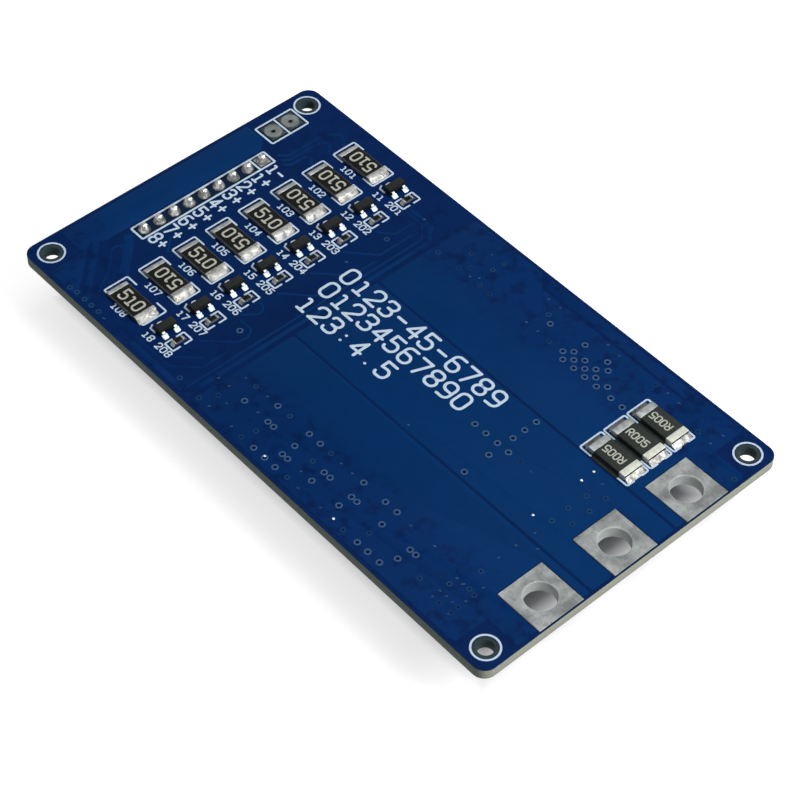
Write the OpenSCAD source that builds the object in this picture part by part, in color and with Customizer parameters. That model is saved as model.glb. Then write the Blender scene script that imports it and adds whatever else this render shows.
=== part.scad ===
// Battery management board: a 90 x 50 mm circuit board that protects and balances a pack of cells.
// Millimetres. The origin is the middle of the board's underside, +X runs towards the power
// terminals and +Z out of the side that carries the balancing resistors. The cell header, the
// power transistors and the protection circuits hang from the underside.

/* [Board] */
// Length of the board
board_l = 90; // [88:0.5:120]
// Width of the board
board_w = 50; // [49:0.5:80]
// Thickness of the laminate
board_t = 1.6; // [1:0.1:2.4]
// Radius of the board's four corners
corner_r = 1.8; // [0.5:0.1:2.5]
// Distance from a short edge to the fixing holes
fixing_inset_x = 2.8; // [2.5:0.1:3.2]
// Distance from a long edge to the fixing holes
fixing_inset_y = 2.9; // [2.5:0.1:3]
// Diameter of the four bare fixing holes
fixing_hole_d = 2.2; // [2:0.1:2.6]

/* [Power terminals] */
// Number of power terminals along the right-hand edge
terminal_count = 3; // [1:1:3]
// Side of each square terminal
terminal_w = 7.2; // [6:0.1:7.8]
// Distance between neighbouring terminals
terminal_pitch = 12.3; // [10:0.1:13]
// Diameter of the plated hole in each terminal
terminal_hole_d = 4.2; // [3.2:0.1:4.6]
// Bare strip between a terminal and the board's edge
terminal_margin = 0.25; // [0.1:0.05:0.5]
// Thickness of the tinned copper on the board's faces
plating_t = 0.1; // [0.05:0.01:0.15]
// Thickness of the tinned lining of a plated hole
lining_t = 0.2; // [0.18:0.01:0.3]

/* [Sensor pads] */
// Length of a sensor pad
sensor_l = 2.9; // [2.4:0.1:3]
// Width of a sensor pad
sensor_w = 2.5; // [2:0.1:2.8]
// Distance between the two sensor pads
sensor_pitch = 3.1; // [2.9:0.1:3.3]
// Diameter of the small hole in a sensor pad
sensor_hole_d = 0.6; // [0.4:0.1:1]
// Distance from the left-hand edge to the sensor pads
sensor_edge = 3.8; // [3.2:0.1:4.2]
// Distance from the upper long edge to the middle of the pair
sensor_drop = 8.33; // [8:0.1:9]

/* [Cell header] */
// Number of pins in the header
ways = 9; // [3:1:9]
// Distance between neighbouring pins
pin_pitch = 2.54; // [2.5:0.01:2.56]
// Side of a square pin
pin_w = 0.64; // [0.5:0.02:0.68]
// Diameter of the plated holes for the pins
pin_hole_d = 1.0; // [0.98:0.01:1.1]
// Distance from the left-hand edge to the row of pins
header_edge = 7.4; // [6.8:0.1:7.8]
// Length of a pin above the board, once cut
pin_tail = 1.1; // [1:0.05:1.6]
// Height of a solder joint above the board
joint_h = 0.85; // [0.6:0.05:0.9]
// Diameter of a solder joint at the board
joint_d = 1.8; // [1.5:0.1:2]
// Depth of the moulded shroud, measured away from the board
shroud_h = 7; // [6.4:0.1:9]
// Thickness of the shroud's floor, which holds the pins
shroud_floor = 2.1; // [1.5:0.1:2.6]
// Thickness of the shroud's walls
shroud_wall = 0.75; // [0.6:0.05:0.9]
// From the row of pins to the outside of the slotted wall
shroud_front = 2.35; // [2.2:0.05:2.6]
// From the row of pins to the outside of the plain wall
shroud_back = 3.4; // [3:0.05:3.5]
// From an end pin to the outside of the shroud's end wall
shroud_end = 2.45; // [2.3:0.05:2.7]
// Width of the key slots in the slotted wall and in the end walls
key_slot_w = 1.5; // [1:0.1:1.8]
// Depth of the key slots from the shroud's mouth
key_slot_depth = 3.6; // [2:0.1:3.8]
// Lead-in chamfer round the shroud's mouth
mouth_chamfer = 0.35; // [0.2:0.05:0.5]

/* [Balancing groups] */
// Number of balancing groups, one for each cell
group_count = 8; // [3:1:8]
// Distance between neighbouring groups
group_pitch = 5.615; // [5.4:0.005:5.7]
// How far the column of groups lies off the board's middle
group_shift = 0.58; // [0:0.02:0.7]
// Distance from the left-hand edge to the large resistors
balance_edge = 17; // [16.6:0.1:17.2]
// Distance from the left-hand edge to the small transistors
transistor_edge = 23.5; // [23.2:0.1:23.8]
// Distance from the left-hand edge to the bias resistors
bias_edge = 26.35; // [26.3:0.05:28]
// How far the bias resistor lies below the middle of its group
bias_drop = 0.2; // [0:0.05:0.3]
// Length of a large resistor
balance_l = 6.35; // [6:0.05:6.4]
// Width of a large resistor
balance_w = 3.2; // [3:0.05:3.4]
// Height of a large resistor
balance_h = 0.6; // [0.5:0.05:0.8]
// Length of the end caps on a large resistor
balance_cap = 0.65; // [0.4:0.05:0.9]

/* [Small parts] */
// Length of a small resistor or capacitor
small_l = 1.6; // [1.4:0.05:1.7]
// Width of a small resistor or capacitor
small_w = 0.8; // [0.7:0.05:0.9]
// Height of a small resistor
small_h = 0.45; // [0.35:0.05:0.6]
// Height of a small capacitor
capacitor_h = 0.8; // [0.6:0.05:0.9]
// Length of the end caps on a small part
small_cap = 0.3; // [0.2:0.05:0.4]
// Body length of a three-legged transistor
trans_l = 2.9; // [2.8:0.05:3]
// Body width of a three-legged transistor
trans_w = 1.3; // [1.2:0.05:1.4]
// Height of a three-legged transistor's body
trans_h = 1.0; // [0.9:0.05:1.1]
// Distance from toe to toe across the transistor's legs
trans_span = 2.4; // [2.3:0.05:2.5]
// Distance between the two legs on one side
trans_leg_pitch = 1.9; // [1.8:0.05:2]
// Width of a transistor leg
trans_leg_w = 0.4; // [0.3:0.05:0.5]

/* [Shunt resistors] */
// Number of shunt resistors side by side
shunt_count = 3; // [1:1:4]
// Distance between neighbouring shunt resistors
shunt_pitch = 4.1; // [3.9:0.1:4.4]
// Distance from the right-hand edge to the shunt resistors
shunt_edge = 13; // [12.8:0.1:16]
// How far the middle of the shunts lies above the board's middle
shunt_shift = 13.2; // [12.6:0.1:13.6]
// Length of a shunt resistor
shunt_l = 6.4; // [6.2:0.05:6.5]
// Width of a shunt resistor
shunt_w = 3.15; // [3:0.05:3.3]
// Height of a shunt resistor
shunt_h = 0.8; // [0.6:0.05:1]
// Length of the terminals of a shunt resistor
shunt_cap = 1.05; // [0.8:0.05:1.3]

/* [Power transistors] */
// Number of power transistors in each of the two rows
power_count = 3; // [1:1:3]
// Distance between neighbouring power transistors
power_pitch = 10; // [8:0.5:11]
// Distance from the right-hand edge to the nearest power transistor
power_edge = 23; // [22:0.5:24]
// Body width of a power transistor
power_w = 6.6; // [6.4:0.05:6.8]
// Body length of a power transistor
power_l = 6.1; // [6:0.05:6.3]
// Height of a power transistor
power_h = 2.3; // [2.2:0.05:2.4]
// Overall length of a power transistor, from leg to tab
power_span = 10; // [9.8:0.05:10.2]
// Width of the metal tab
power_tab_w = 5.2; // [5:0.05:5.5]
// How far the tab stands out of the body
power_tab_out = 1.0; // [0.8:0.05:1.2]
// Thickness of the tab and the legs
power_metal_t = 0.5; // [0.45:0.01:0.58]
// Width of a power transistor's leg
power_leg_w = 0.76; // [0.6:0.02:0.9]
// Distance from the middle to an outer leg
power_leg_pitch = 2.28; // [2.2:0.02:2.3]
// Gap from the board's middle line to the legs of each row
power_gap = 2.6; // [2.5:0.1:3]

/* [Protection circuits] */
// Number of legs on each side of a protection circuit
ic_legs = 14; // [8:1:14]
// Distance between neighbouring legs
ic_leg_pitch = 0.65; // [0.63:0.01:0.66]
// Width of a leg
ic_leg_w = 0.24; // [0.2:0.01:0.3]
// Body length of a protection circuit
ic_l = 9.7; // [9.5:0.1:10]
// Body width of a protection circuit
ic_w = 4.4; // [4.3:0.05:4.5]
// Height of a protection circuit
ic_h = 1.1; // [1:0.05:1.2]
// Distance from toe to toe across the legs
ic_span = 6.4; // [6.3:0.05:6.6]
// Distance from the left-hand edge to the protection circuits
ic_edge = 24; // [23.5:0.1:24.5]
// How far each protection circuit lies from the board's middle line
ic_shift = 9.5; // [9:0.1:10]

/* [Solder] */
// How far the solder runs out beyond the end of a large part
solder_run = 0.82; // [0.5:0.02:0.9]
// How far the solder runs out beyond the end of a small part
solder_run_small = 0.35; // [0.2:0.05:0.4]
// How high the solder climbs a chip, as a share of the chip's height
solder_climb = 0.85; // [0.5:0.05:0.95]
// How high the solder climbs a shunt resistor, as a share of its height
shunt_climb = 0.6; // [0.4:0.05:0.95]

/* [Hidden] */
$fn = 64;
// How far two solids of one piece run into each other
eps = 0.01;
// How far a cutter stands out of what it cuts
cut = 0.5;

// Arc steps along a solder fillet's hollow face
fillet_steps = 6;
// Wall draft of a moulded body, for each millimetre of height
draft = 0.12;
// The metal caps stand this far proud of a chip's body
cap_step = 0.04;
// Thickness of the printed layer on a chip
print_t = 0.04;
// Gap between a chip's printed layer and the tops of its caps
print_drop = 0.02;
// Rounding on a chip's long metal edges
cap_round = 0.08;
// Sheet thickness of the legs of small packages
leg_t = 0.15;
// How far a leg's foot lies flat on the board
foot_l = 0.35;
// How far along its reach a leg bends down
knee_share = 0.45;
// Gap under a moulded body that stands on legs
stand_off = 0.08;
// Where a power transistor's legs leave its body, as a share of its height
power_exit = 0.45;
// How far along its reach a power transistor's leg bends down, and how much of it lies flat
power_knee = 0.4;
power_foot = 0.38;
// Length of the cut middle leg outside the body
power_stub = 0.7;
// How far the metal tab runs into the body
tab_root = 2;
// Round dimple that marks a protection circuit's first leg
dimple_d = 0.9;
dimple_depth = 0.1;

// How far each large resistor slid off its place while its solder was liquid
settle = [-0.15, -0.1, -0.12, -0.08, -0.15, -0.1, -0.18, -0.6];

// The pins stop this far inside the shroud's mouth
pin_recess = 0.9;
// Length of the taper at a pin's free end
pin_point = 0.4;
// Solder climbs a pin in a collar of this radius and a hollow curve of this steepness
collar_r = 0.4;
joint_hollow = 1.6;

left = -board_l / 2;
right = board_l / 2;
header_x = left + header_edge;
terminal_x = right - terminal_margin - terminal_w / 2;
sensor_x = left + sensor_edge;
sensor_y = board_w / 2 - sensor_drop;
balance_x = left + balance_edge;
transistor_x = left + transistor_edge;
bias_x = left + bias_edge;
shunt_x = right - shunt_edge;
ic_x = left + ic_edge;

shroud_l = (ways - 1) * pin_pitch + 2 * shroud_end;
shroud_w = shroud_front + shroud_back;
shroud_mid = (shroud_back - shroud_front) / 2;
pin_bottom = shroud_h - pin_recess;

// Places of the small parts on the underside, off the large parts that they serve
filter_resistor_off = 2.2;
filter_capacitor_off = 4.9;
timing_off = 1.6;
timing_reach = 1.5;
driver_off = 4.5;
driver_y = 7;
gate_l = 1.5;
filter_resistor_x = header_x + shroud_back + filter_resistor_off;
filter_capacitor_x = header_x + shroud_back + filter_capacitor_off;
timing_y = ic_shift + ic_l / 2 + timing_off;
driver_x = ic_x + ic_span / 2 + driver_off;
gate_y = power_gap / 2;

function spread(i, n, pitch) = ((n - 1) / 2 - i) * pitch;
function group_y(i) = group_shift + spread(i, group_count, group_pitch);
function pin_y(i) = spread(i, ways, pin_pitch);
function power_x(i) = right - power_edge - i * power_pitch;
function numbered(name, n) = [for (i = [1:n]) str(name, "_", i)];

// ---------------------------------------------------------------- placing

module on_top(x, y, turn = 0) {
    translate([x, y, board_t]) rotate(turn) children();
}

// Turned over about the X axis, so that the part's up points down from the underside
module on_underside(x, y, turn = 0) {
    translate([x, y, 0]) rotate([180, 0, 0]) rotate(turn) children();
}

// Extrudes a profile drawn in X and Z over a width centred on Y
module across(width) {
    translate([0, width / 2, 0]) rotate([90, 0, 0]) linear_extrude(width) children();
}

// ---------------------------------------------------------------- shared forms

module rounded_rectangle(l, w, r) {
    square([l - 2 * r, w], center = true);
    square([l, w - 2 * r], center = true);
    for (sx = [-1, 1], sy = [-1, 1])
        translate([sx * (l / 2 - r), sy * (w / 2 - r)]) circle(r);
}

// Side view of a block whose ends lean in above and below its parting line
module drafted_profile(l, h, parting) {
    lean_up = draft * (h - parting);
    lean_down = draft * parting;
    polygon([[-l / 2 + lean_down, 0], [l / 2 - lean_down, 0], [l / 2, parting],
             [l / 2 - lean_up, h], [-l / 2 + lean_up, h], [-l / 2, parting]]);
}

// Moulded body with draft on all four sides
module moulded_body(l, w, h, parting) {
    intersection() {
        across(w) drafted_profile(l, h, parting);
        rotate(90) across(l) drafted_profile(w, h, parting);
    }
}

// Side view of a bent leg: out of the body at height exit, down, and along the board to its toe
module leg_profile(from, toe, exit) {
    knee = from + (toe - foot_l - from) * knee_share;
    heel = toe - foot_l;
    polygon([[from, exit + leg_t / 2], [knee, exit + leg_t / 2], [heel + leg_t, leg_t],
             [toe, leg_t], [toe, 0], [heel, 0],
             [knee - leg_t / 2, exit - leg_t / 2], [from, exit - leg_t / 2]]);
}

// Chip part: a ceramic body between two metal caps, with its printed layer on top
module chip(l, w, h, cap, body_colour, top_colour = "black") {
    body_l = l - 2 * cap;
    color("gainsboro")
        for (s = [-1, 1])
            translate([s * (l - cap) / 2, 0, 0]) across(w) chip_cap_profile(cap, h, s);
    color(body_colour)
        translate([-body_l / 2, -w / 2, cap_step])
            cube([body_l, w, h - cap_step - print_t - print_drop]);
    color(top_colour)
        translate([-body_l / 2, -w / 2 + cap_step, h - print_t - print_drop - eps])
            cube([body_l, w - 2 * cap_step, print_t + eps]);
}

// An end cap's side view, rounded on its outer edges
module chip_cap_profile(cap, h, side) {
    outer = side * cap / 2;
    round_x = side * (cap / 2 - cap_round);
    polygon(concat(
        [[-outer, 0]],
        [for (a = [0:30:90]) [round_x + side * cap_round * sin(a),
                              cap_round * (1 - cos(a))]],
        [for (a = [0:30:90]) [round_x + side * cap_round * cos(a),
                              h - cap_round * (1 - sin(a))]],
        [[-outer, h]]));
}

// Hollow wedge of solder that runs out from the end of a part
module fillet(width, run, rise) {
    across(width) polygon(concat(
        [[0, 0], [run, 0]],
        [for (i = [1:fillet_steps - 1])
            let (a = 90 * i / fillet_steps) [run * (1 - sin(a)), rise * (1 - cos(a))]],
        [[0, rise]]));
}

module end_fillets(l, width, run, rise) {
    for (turn = [0, 180]) rotate(turn) translate([l / 2, 0, 0]) fillet(width, run, rise);
}

module leg_fillets(span, places, width, run, rise) {
    for (y = places) translate([span / 2, y, 0]) fillet(width, run, rise);
}

module small_transistor() {
    exit = trans_h / 2;
    color("dimgray")
        translate([0, 0, stand_off]) moulded_body(trans_w, trans_l, trans_h - stand_off,
                                                  exit - stand_off);
    color("silver") {
        for (y = [-1, 1] * trans_leg_pitch / 2) translate([0, y, 0]) small_leg(0);
        small_leg(180);
    }
}

module small_leg(turn) {
    rotate(turn) across(trans_leg_w)
        leg_profile(trans_w / 2 - draft, trans_span / 2, trans_h / 2);
}

// ---------------------------------------------------------------- board

module board_hole(x, y, d, facets) {
    translate([x, y, -cut]) cylinder(h = board_t + 2 * cut, d = d, $fn = facets);
}

module board() {
    color("midnightblue") difference() {
        linear_extrude(board_t) rounded_rectangle(board_l, board_w, corner_r);
        for (sx = [-1, 1], sy = [-1, 1])
            board_hole(sx * (board_l / 2 - fixing_inset_x), sy * (board_w / 2 - fixing_inset_y),
                       fixing_hole_d, 64);
        for (i = [0:terminal_count - 1])
            board_hole(terminal_x, spread(i, terminal_count, terminal_pitch),
                       terminal_hole_d + 2 * lining_t, 64);
        for (i = [0:1])
            board_hole(sensor_x, sensor_y + spread(i, 2, sensor_pitch),
                       sensor_hole_d + 2 * lining_t, 32);
        for (i = [0:ways - 1]) board_hole(header_x, pin_y(i), pin_hole_d, 32);
    }
}

// Tinned pads on both faces, joined by the plated wall of their hole
module plated_pad(l, w, hole_d, facets) {
    color("silver") difference() {
        union() {
            for (z = [-plating_t, board_t])
                translate([-l / 2, -w / 2, z]) cube([l, w, plating_t]);
            translate([0, 0, -plating_t])
                cylinder(h = board_t + 2 * plating_t, d = hole_d + 2 * lining_t, $fn = facets);
        }
        translate([0, 0, -plating_t - cut])
            cylinder(h = board_t + 2 * (plating_t + cut), d = hole_d, $fn = facets);
    }
}

module power_terminal(i) {
    translate([terminal_x, spread(i, terminal_count, terminal_pitch), 0])
        plated_pad(terminal_w, terminal_w, terminal_hole_d, 64);
}

module sensor_pad(i) {
    translate([sensor_x, sensor_y + spread(i, 2, sensor_pitch), 0])
        plated_pad(sensor_l, sensor_w, sensor_hole_d, 32);
}

// ---------------------------------------------------------------- cell header

// Cavity of the shroud, with a lead-in at the mouth
module shroud_cavity() {
    l = shroud_l - 2 * shroud_wall;
    w = shroud_w - 2 * shroud_wall;
    depth = shroud_h - shroud_floor;
    translate([0, 0, shroud_floor]) intersection() {
        across(l + 2 * mouth_chamfer) mouth_profile(w, depth);
        rotate(90) across(w + 2 * mouth_chamfer) mouth_profile(l, depth);
    }
}

module mouth_profile(w, depth) {
    polygon([[-w / 2, 0], [w / 2, 0], [w / 2, depth - mouth_chamfer],
             [w / 2 + mouth_chamfer, depth], [w / 2 + mouth_chamfer, depth + cut],
             [-w / 2 - mouth_chamfer, depth + cut], [-w / 2 - mouth_chamfer, depth],
             [-w / 2, depth - mouth_chamfer]]);
}

// Slots that key the plug: two in the front wall and one in each end wall
module key_slots() {
    slot_z = shroud_h - key_slot_depth;
    for (s = [-1, 1]) {
        translate([-shroud_w / 2 - cut, s * (ways - 2) / 2 * pin_pitch - key_slot_w / 2, slot_z])
            cube([shroud_wall + 2 * cut, key_slot_w, key_slot_depth + cut]);
        translate([-key_slot_w / 2 - shroud_mid,
                   s * (shroud_l - shroud_wall) / 2 - shroud_wall / 2 - cut, slot_z])
            cube([key_slot_w, shroud_wall + 2 * cut, key_slot_depth + cut]);
    }
}

// Moulded shroud, drawn with its mouth up and hung from the underside
module header_shroud() {
    color("ivory") translate([header_x + shroud_mid, 0, 0]) rotate([180, 0, 0]) difference() {
        translate([-shroud_w / 2, -shroud_l / 2, 0]) cube([shroud_w, shroud_l, shroud_h]);
        shroud_cavity();
        key_slots();
        for (i = [0:ways - 1])
            translate([-shroud_mid - pin_w / 2, pin_y(i) - pin_w / 2, -cut])
                cube([pin_w, pin_w, shroud_floor + 2 * cut]);
    }
}

// Side view of a pin, pointed at the plug's end and nipped at the soldered end
module pin_profile() {
    top = board_t + pin_tail;
    nip = pin_w / 6;
    point = pin_w / 4;
    polygon([[-point, -pin_bottom], [point, -pin_bottom], [pin_w / 2, -pin_bottom + pin_point],
             [pin_w / 2, top - nip], [pin_w / 2 - nip, top], [-pin_w / 2 + nip, top],
             [-pin_w / 2, top - nip], [-pin_w / 2, -pin_bottom + pin_point]]);
}

module header_pin() {
    intersection() {
        across(pin_w) pin_profile();
        rotate(90) across(pin_w) pin_profile();
    }
}

module header_pins() {
    color("lightgray")
        for (i = [0:ways - 1]) translate([header_x, pin_y(i), 0]) header_pin();
}

// Cone of solder on the board with the filled hole below it, turned round a pin
module solder_joint() {
    foot_r = joint_d / 2;
    difference() {
        rotate_extrude($fn = 32) polygon(concat(
            [[0, 0], [pin_hole_d / 2, 0], [pin_hole_d / 2, board_t], [foot_r, board_t]],
            [for (i = [1:fillet_steps - 1])
                let (a = 90 * i / fillet_steps)
                [foot_r - (foot_r - collar_r) * pow(sin(a), joint_hollow),
                 board_t + joint_h * (1 - cos(a))]],
            [[collar_r, board_t + joint_h], [0, board_t + joint_h]]));
        translate([-pin_w / 2, -pin_w / 2, -cut])
            cube([pin_w, pin_w, board_t + joint_h + 2 * cut]);
    }
}

module header_solder() {
    color("whitesmoke")
        for (i = [0:ways - 1]) translate([header_x, pin_y(i), 0]) solder_joint();
}

// ---------------------------------------------------------------- balancing groups

function settled_y(i) = group_y(i) + settle[i];

module balance_resistor(i) {
    on_top(balance_x, settled_y(i))
        chip(balance_l, balance_w, balance_h, balance_cap, "white");
}

module balance_transistor(i) {
    on_top(transistor_x, group_y(i)) small_transistor();
}

module bias_resistor(i) {
    on_top(bias_x, group_y(i) - bias_drop, 90)
        chip(small_l, small_w, small_h, small_cap, "white");
}

module balance_solder() {
    color("whitesmoke") for (i = [0:group_count - 1])
        on_top(balance_x, settled_y(i))
            end_fillets(balance_l, balance_w, solder_run, balance_h * solder_climb);
}

module transistor_solder() {
    legs = [-1, 1] * trans_leg_pitch / 2;
    color("whitesmoke") for (i = [0:group_count - 1]) {
        on_top(transistor_x, group_y(i))
            leg_fillets(trans_span, legs, 2 * trans_leg_w, solder_run_small, leg_t);
        on_top(transistor_x, group_y(i), 180)
            leg_fillets(trans_span, [0], 2 * trans_leg_w, solder_run_small, leg_t);
    }
}

module bias_solder() {
    color("whitesmoke") for (i = [0:group_count - 1])
        on_top(bias_x, group_y(i) - bias_drop, 90)
            end_fillets(small_l, small_w, solder_run_small, small_h * solder_climb);
}

// ---------------------------------------------------------------- shunt resistors

function shunt_y(i) = shunt_shift + spread(i, shunt_count, shunt_pitch);

module shunt_resistor(i) {
    on_top(shunt_x, shunt_y(i))
        chip(shunt_l, shunt_w, shunt_h, shunt_cap, "darkslategray", "darkslategray");
}

module shunt_solder() {
    color("whitesmoke") for (i = [0:shunt_count - 1])
        on_top(shunt_x, shunt_y(i))
            end_fillets(shunt_l, shunt_w, solder_run, shunt_h * shunt_climb);
}

// ---------------------------------------------------------------- underside

// Power package: legs towards +X, metal tab towards -X, its foot flat on the board
module power_package() {
    body_mid = power_span / 2 - power_tab_out - power_l / 2;
    body_edge = -body_mid + power_l / 2;
    root = body_edge - draft * power_h;
    toe = power_span / 2;
    exit = power_h * power_exit;
    color("dimgray") translate([-body_mid, 0, 0])
        moulded_body(power_l, power_w, power_h, power_metal_t);
    color("silver") {
        translate([-power_span / 2, -power_tab_w / 2, 0])
            cube([power_tab_out + tab_root, power_tab_w, power_metal_t]);
        for (y = [-1, 1] * power_leg_pitch)
            translate([0, y, 0]) across(power_leg_w) power_leg_profile(root, toe, exit);
        translate([root, -power_leg_w / 2, exit - power_metal_t / 2])
            cube([draft * power_h + power_stub, power_leg_w, power_metal_t]);
    }
}

module power_leg_profile(from, toe, exit) {
    t = power_metal_t;
    knee = from + (toe - from) * power_knee;
    heel = toe - (toe - from) * power_foot;
    polygon([[from, exit + t / 2], [knee, exit + t / 2], [heel + t / 2, t], [toe, t], [toe, 0],
             [heel, 0], [knee - t / 2, exit - t / 2], [from, exit - t / 2]]);
}

// The two rows face each other across the board's middle line, legs inwards
function power_row(i) = i < power_count ? 1 : -1;
function power_turn(i) = power_row(i) * 90;
function power_y(i) = power_row(i) * (power_gap + power_span / 2);

module power_transistor(i) {
    on_underside(power_x(i % power_count), power_y(i), power_turn(i)) power_package();
}

module ic_leg() {
    across(ic_leg_w) leg_profile(ic_w / 2 - draft, ic_span / 2, ic_h / 2);
}

module protection_package() {
    color("dimgray") difference() {
        translate([0, 0, stand_off])
            moulded_body(ic_w, ic_l, ic_h - stand_off, ic_h / 2 - stand_off);
        translate([-ic_w / 2 + dimple_d, ic_l / 2 - dimple_d, ic_h - dimple_depth])
            cylinder(h = dimple_depth + cut, d = dimple_d, $fn = 24);
    }
    color("silver") for (turn = [0, 180], i = [0:ic_legs - 1])
        rotate(turn) translate([0, spread(i, ic_legs, ic_leg_pitch), 0]) ic_leg();
}

module protection_circuit(i) {
    on_underside(ic_x, [1, -1][i] * ic_shift) protection_package();
}

module driver_transistor(i) {
    on_underside(driver_x, [1, -1][i] * driver_y) small_transistor();
}

function cell_y(i) = spread(i, ways - 1, pin_pitch);

module filter_resistors() {
    for (i = [0:ways - 2]) on_underside(filter_resistor_x, cell_y(i))
        chip(small_l, small_w, small_h, small_cap, "white");
}

module filter_capacitors() {
    for (i = [0:ways - 2]) on_underside(filter_capacitor_x, cell_y(i))
        chip(small_l, small_w, capacitor_h, small_cap, "burlywood", "burlywood");
}

module timing_capacitors() {
    for (sx = [-1, 1], sy = [-1, 1])
        on_underside(ic_x + sx * timing_reach, sy * timing_y, 90)
            chip(small_l, small_w, capacitor_h, small_cap, "burlywood", "burlywood");
}

// One beside each power transistor's gate leg
module gate_resistors() {
    for (i = [0:2 * power_count - 1])
        on_underside(gate_x(i), power_row(i) * gate_y, 90)
            chip(gate_l, small_w, small_h, small_cap, "white");
}

function gate_x(i) = power_x(i % power_count) + power_row(i) * power_leg_pitch;

module underside_solder() {
    color("whitesmoke") {
        for (i = [0:ways - 2], x = [filter_resistor_x, filter_capacitor_x])
            on_underside(x, cell_y(i))
                end_fillets(small_l, small_w, solder_run_small, small_h * solder_climb);
        for (sx = [-1, 1], sy = [-1, 1])
            on_underside(ic_x + sx * timing_reach, sy * timing_y, 90)
                end_fillets(small_l, small_w, solder_run_small, small_h * solder_climb);
        for (i = [0:2 * power_count - 1])
            on_underside(power_x(i % power_count), power_y(i), power_turn(i) + 180)
                leg_fillets(power_span, [0], power_tab_w, solder_run, power_metal_t);
    }
}

// ---------------------------------------------------------------- output

board();
header_shroud();
header_pins();
header_solder();
for (i = [1:terminal_count])
    power_terminal(i - 1);
for (i = [1:2])
    sensor_pad(i - 1);
for (i = [1:group_count])
    balance_resistor(i - 1);
for (i = [1:group_count])
    balance_transistor(i - 1);
for (i = [1:group_count])
    bias_resistor(i - 1);
for (i = [1:shunt_count])
    shunt_resistor(i - 1);
balance_solder();
transistor_solder();
bias_solder();
shunt_solder();
for (i = [1:2 * power_count])
    power_transistor(i - 1);
for (i = [1:2])
    protection_circuit(i - 1);
for (i = [1:2])
    driver_transistor(i - 1);
filter_resistors();
filter_capacitors();
timing_capacitors();
gate_resistors();
underside_solder();
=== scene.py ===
"""Battery management board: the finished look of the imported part, laid out as an add-on.

Sizes in the tables below are millimetres in the board's own frame: the origin is the middle of
the underside, +X runs to the power terminals and +Z out of the side with the balancing resistors.
"""

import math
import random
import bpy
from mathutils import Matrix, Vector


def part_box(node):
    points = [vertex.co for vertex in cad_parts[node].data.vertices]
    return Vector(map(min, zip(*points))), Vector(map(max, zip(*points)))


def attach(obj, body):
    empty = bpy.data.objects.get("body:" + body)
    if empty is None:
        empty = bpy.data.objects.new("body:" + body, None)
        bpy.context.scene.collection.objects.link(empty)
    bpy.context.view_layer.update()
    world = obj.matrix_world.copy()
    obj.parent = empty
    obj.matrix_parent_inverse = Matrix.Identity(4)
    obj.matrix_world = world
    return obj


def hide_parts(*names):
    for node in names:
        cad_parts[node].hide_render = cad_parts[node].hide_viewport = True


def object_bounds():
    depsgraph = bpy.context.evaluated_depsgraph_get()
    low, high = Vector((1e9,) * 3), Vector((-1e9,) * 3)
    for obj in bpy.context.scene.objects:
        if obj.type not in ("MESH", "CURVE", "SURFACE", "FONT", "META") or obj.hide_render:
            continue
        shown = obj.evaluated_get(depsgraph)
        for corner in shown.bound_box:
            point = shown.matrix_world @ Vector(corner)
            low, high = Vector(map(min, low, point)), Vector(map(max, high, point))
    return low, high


bl_info = {
    "name": "Battery Management Board",
    "version": (1, 0, 0),
    "blender": (4, 5, 0),
    "location": "View3D > Sidebar > Board",
    "description": "Dresses the packed battery management board with its real surfaces",
    "category": "Object",
}

import bmesh
import bpy
from bpy.props import FloatProperty, FloatVectorProperty, IntProperty, PointerProperty
from mathutils import Matrix, Vector, noise

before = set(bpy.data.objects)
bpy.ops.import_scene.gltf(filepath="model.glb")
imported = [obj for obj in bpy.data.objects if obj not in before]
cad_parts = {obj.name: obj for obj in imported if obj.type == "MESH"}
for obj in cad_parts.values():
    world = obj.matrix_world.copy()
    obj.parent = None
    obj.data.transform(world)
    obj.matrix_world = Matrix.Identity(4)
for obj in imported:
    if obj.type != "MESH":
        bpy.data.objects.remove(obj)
CAD_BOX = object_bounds()

MM = 0.001
BODY = "root"


def middle(node):
    """Middle of a CAD node's box, in millimetres."""
    low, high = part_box(node)
    return (low + high) / 2 / MM


def span(node):
    """Size of a CAD node's box, in millimetres."""
    low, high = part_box(node)
    return (high - low) / MM


BOARD = span("board")
BOARD_T = BOARD.z
HALF_L = BOARD.x / 2
HALF_W = BOARD.y / 2
GROUPS = range(1, 9)
SHUNTS = range(1, 4)
POWER_TRANSISTORS = range(1, 7)
PAIR = (1, 2)
SIDES = (-1, 1)
WAYS = 9
PIN_PITCH = 2.54
HEADER_X = middle("header_pins").x
# Places along Y of the header's pins, and of the cells' parts on the underside between them
PIN_ROWS = [(4 - i) * PIN_PITCH for i in range(WAYS)]
CELL_ROWS = [(3.5 - i) * PIN_PITCH for i in range(WAYS - 1)]
TERMINALS = [middle(f"power_terminal_{i}") for i in (1, 2, 3)]
SENSOR_PADS = [middle(f"sensor_pad_{i}") for i in PAIR]
SENSOR_MIDDLE = (SENSOR_PADS[0] + SENSOR_PADS[1]) / 2
HOLE_X, HOLE_Y = 42.2, 22.1
FIXING_HOLES = [(sx * HOLE_X, sy * HOLE_Y) for sx in SIDES for sy in SIDES]
# Radii of the holes in the laminate
FIXING_R, TERMINAL_R, SMALL_R = 1.1, 2.3, 0.5
# Length and width of the tinned pads, and the bore of each
TERMINAL_PAD, SENSOR_PAD = (7.2, 7.2, 4.2), (2.9, 2.5, 0.6)
# Turns a part over, for the underside
FLIP = Matrix.Rotation(math.pi, 4, "X")


def outward(at):
    """1 for a part beyond the board's middle along Y, and -1 for one before it."""
    return 1 if at.y > 0 else -1


# ---------------------------------------------------------------- sizes and colours

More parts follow.
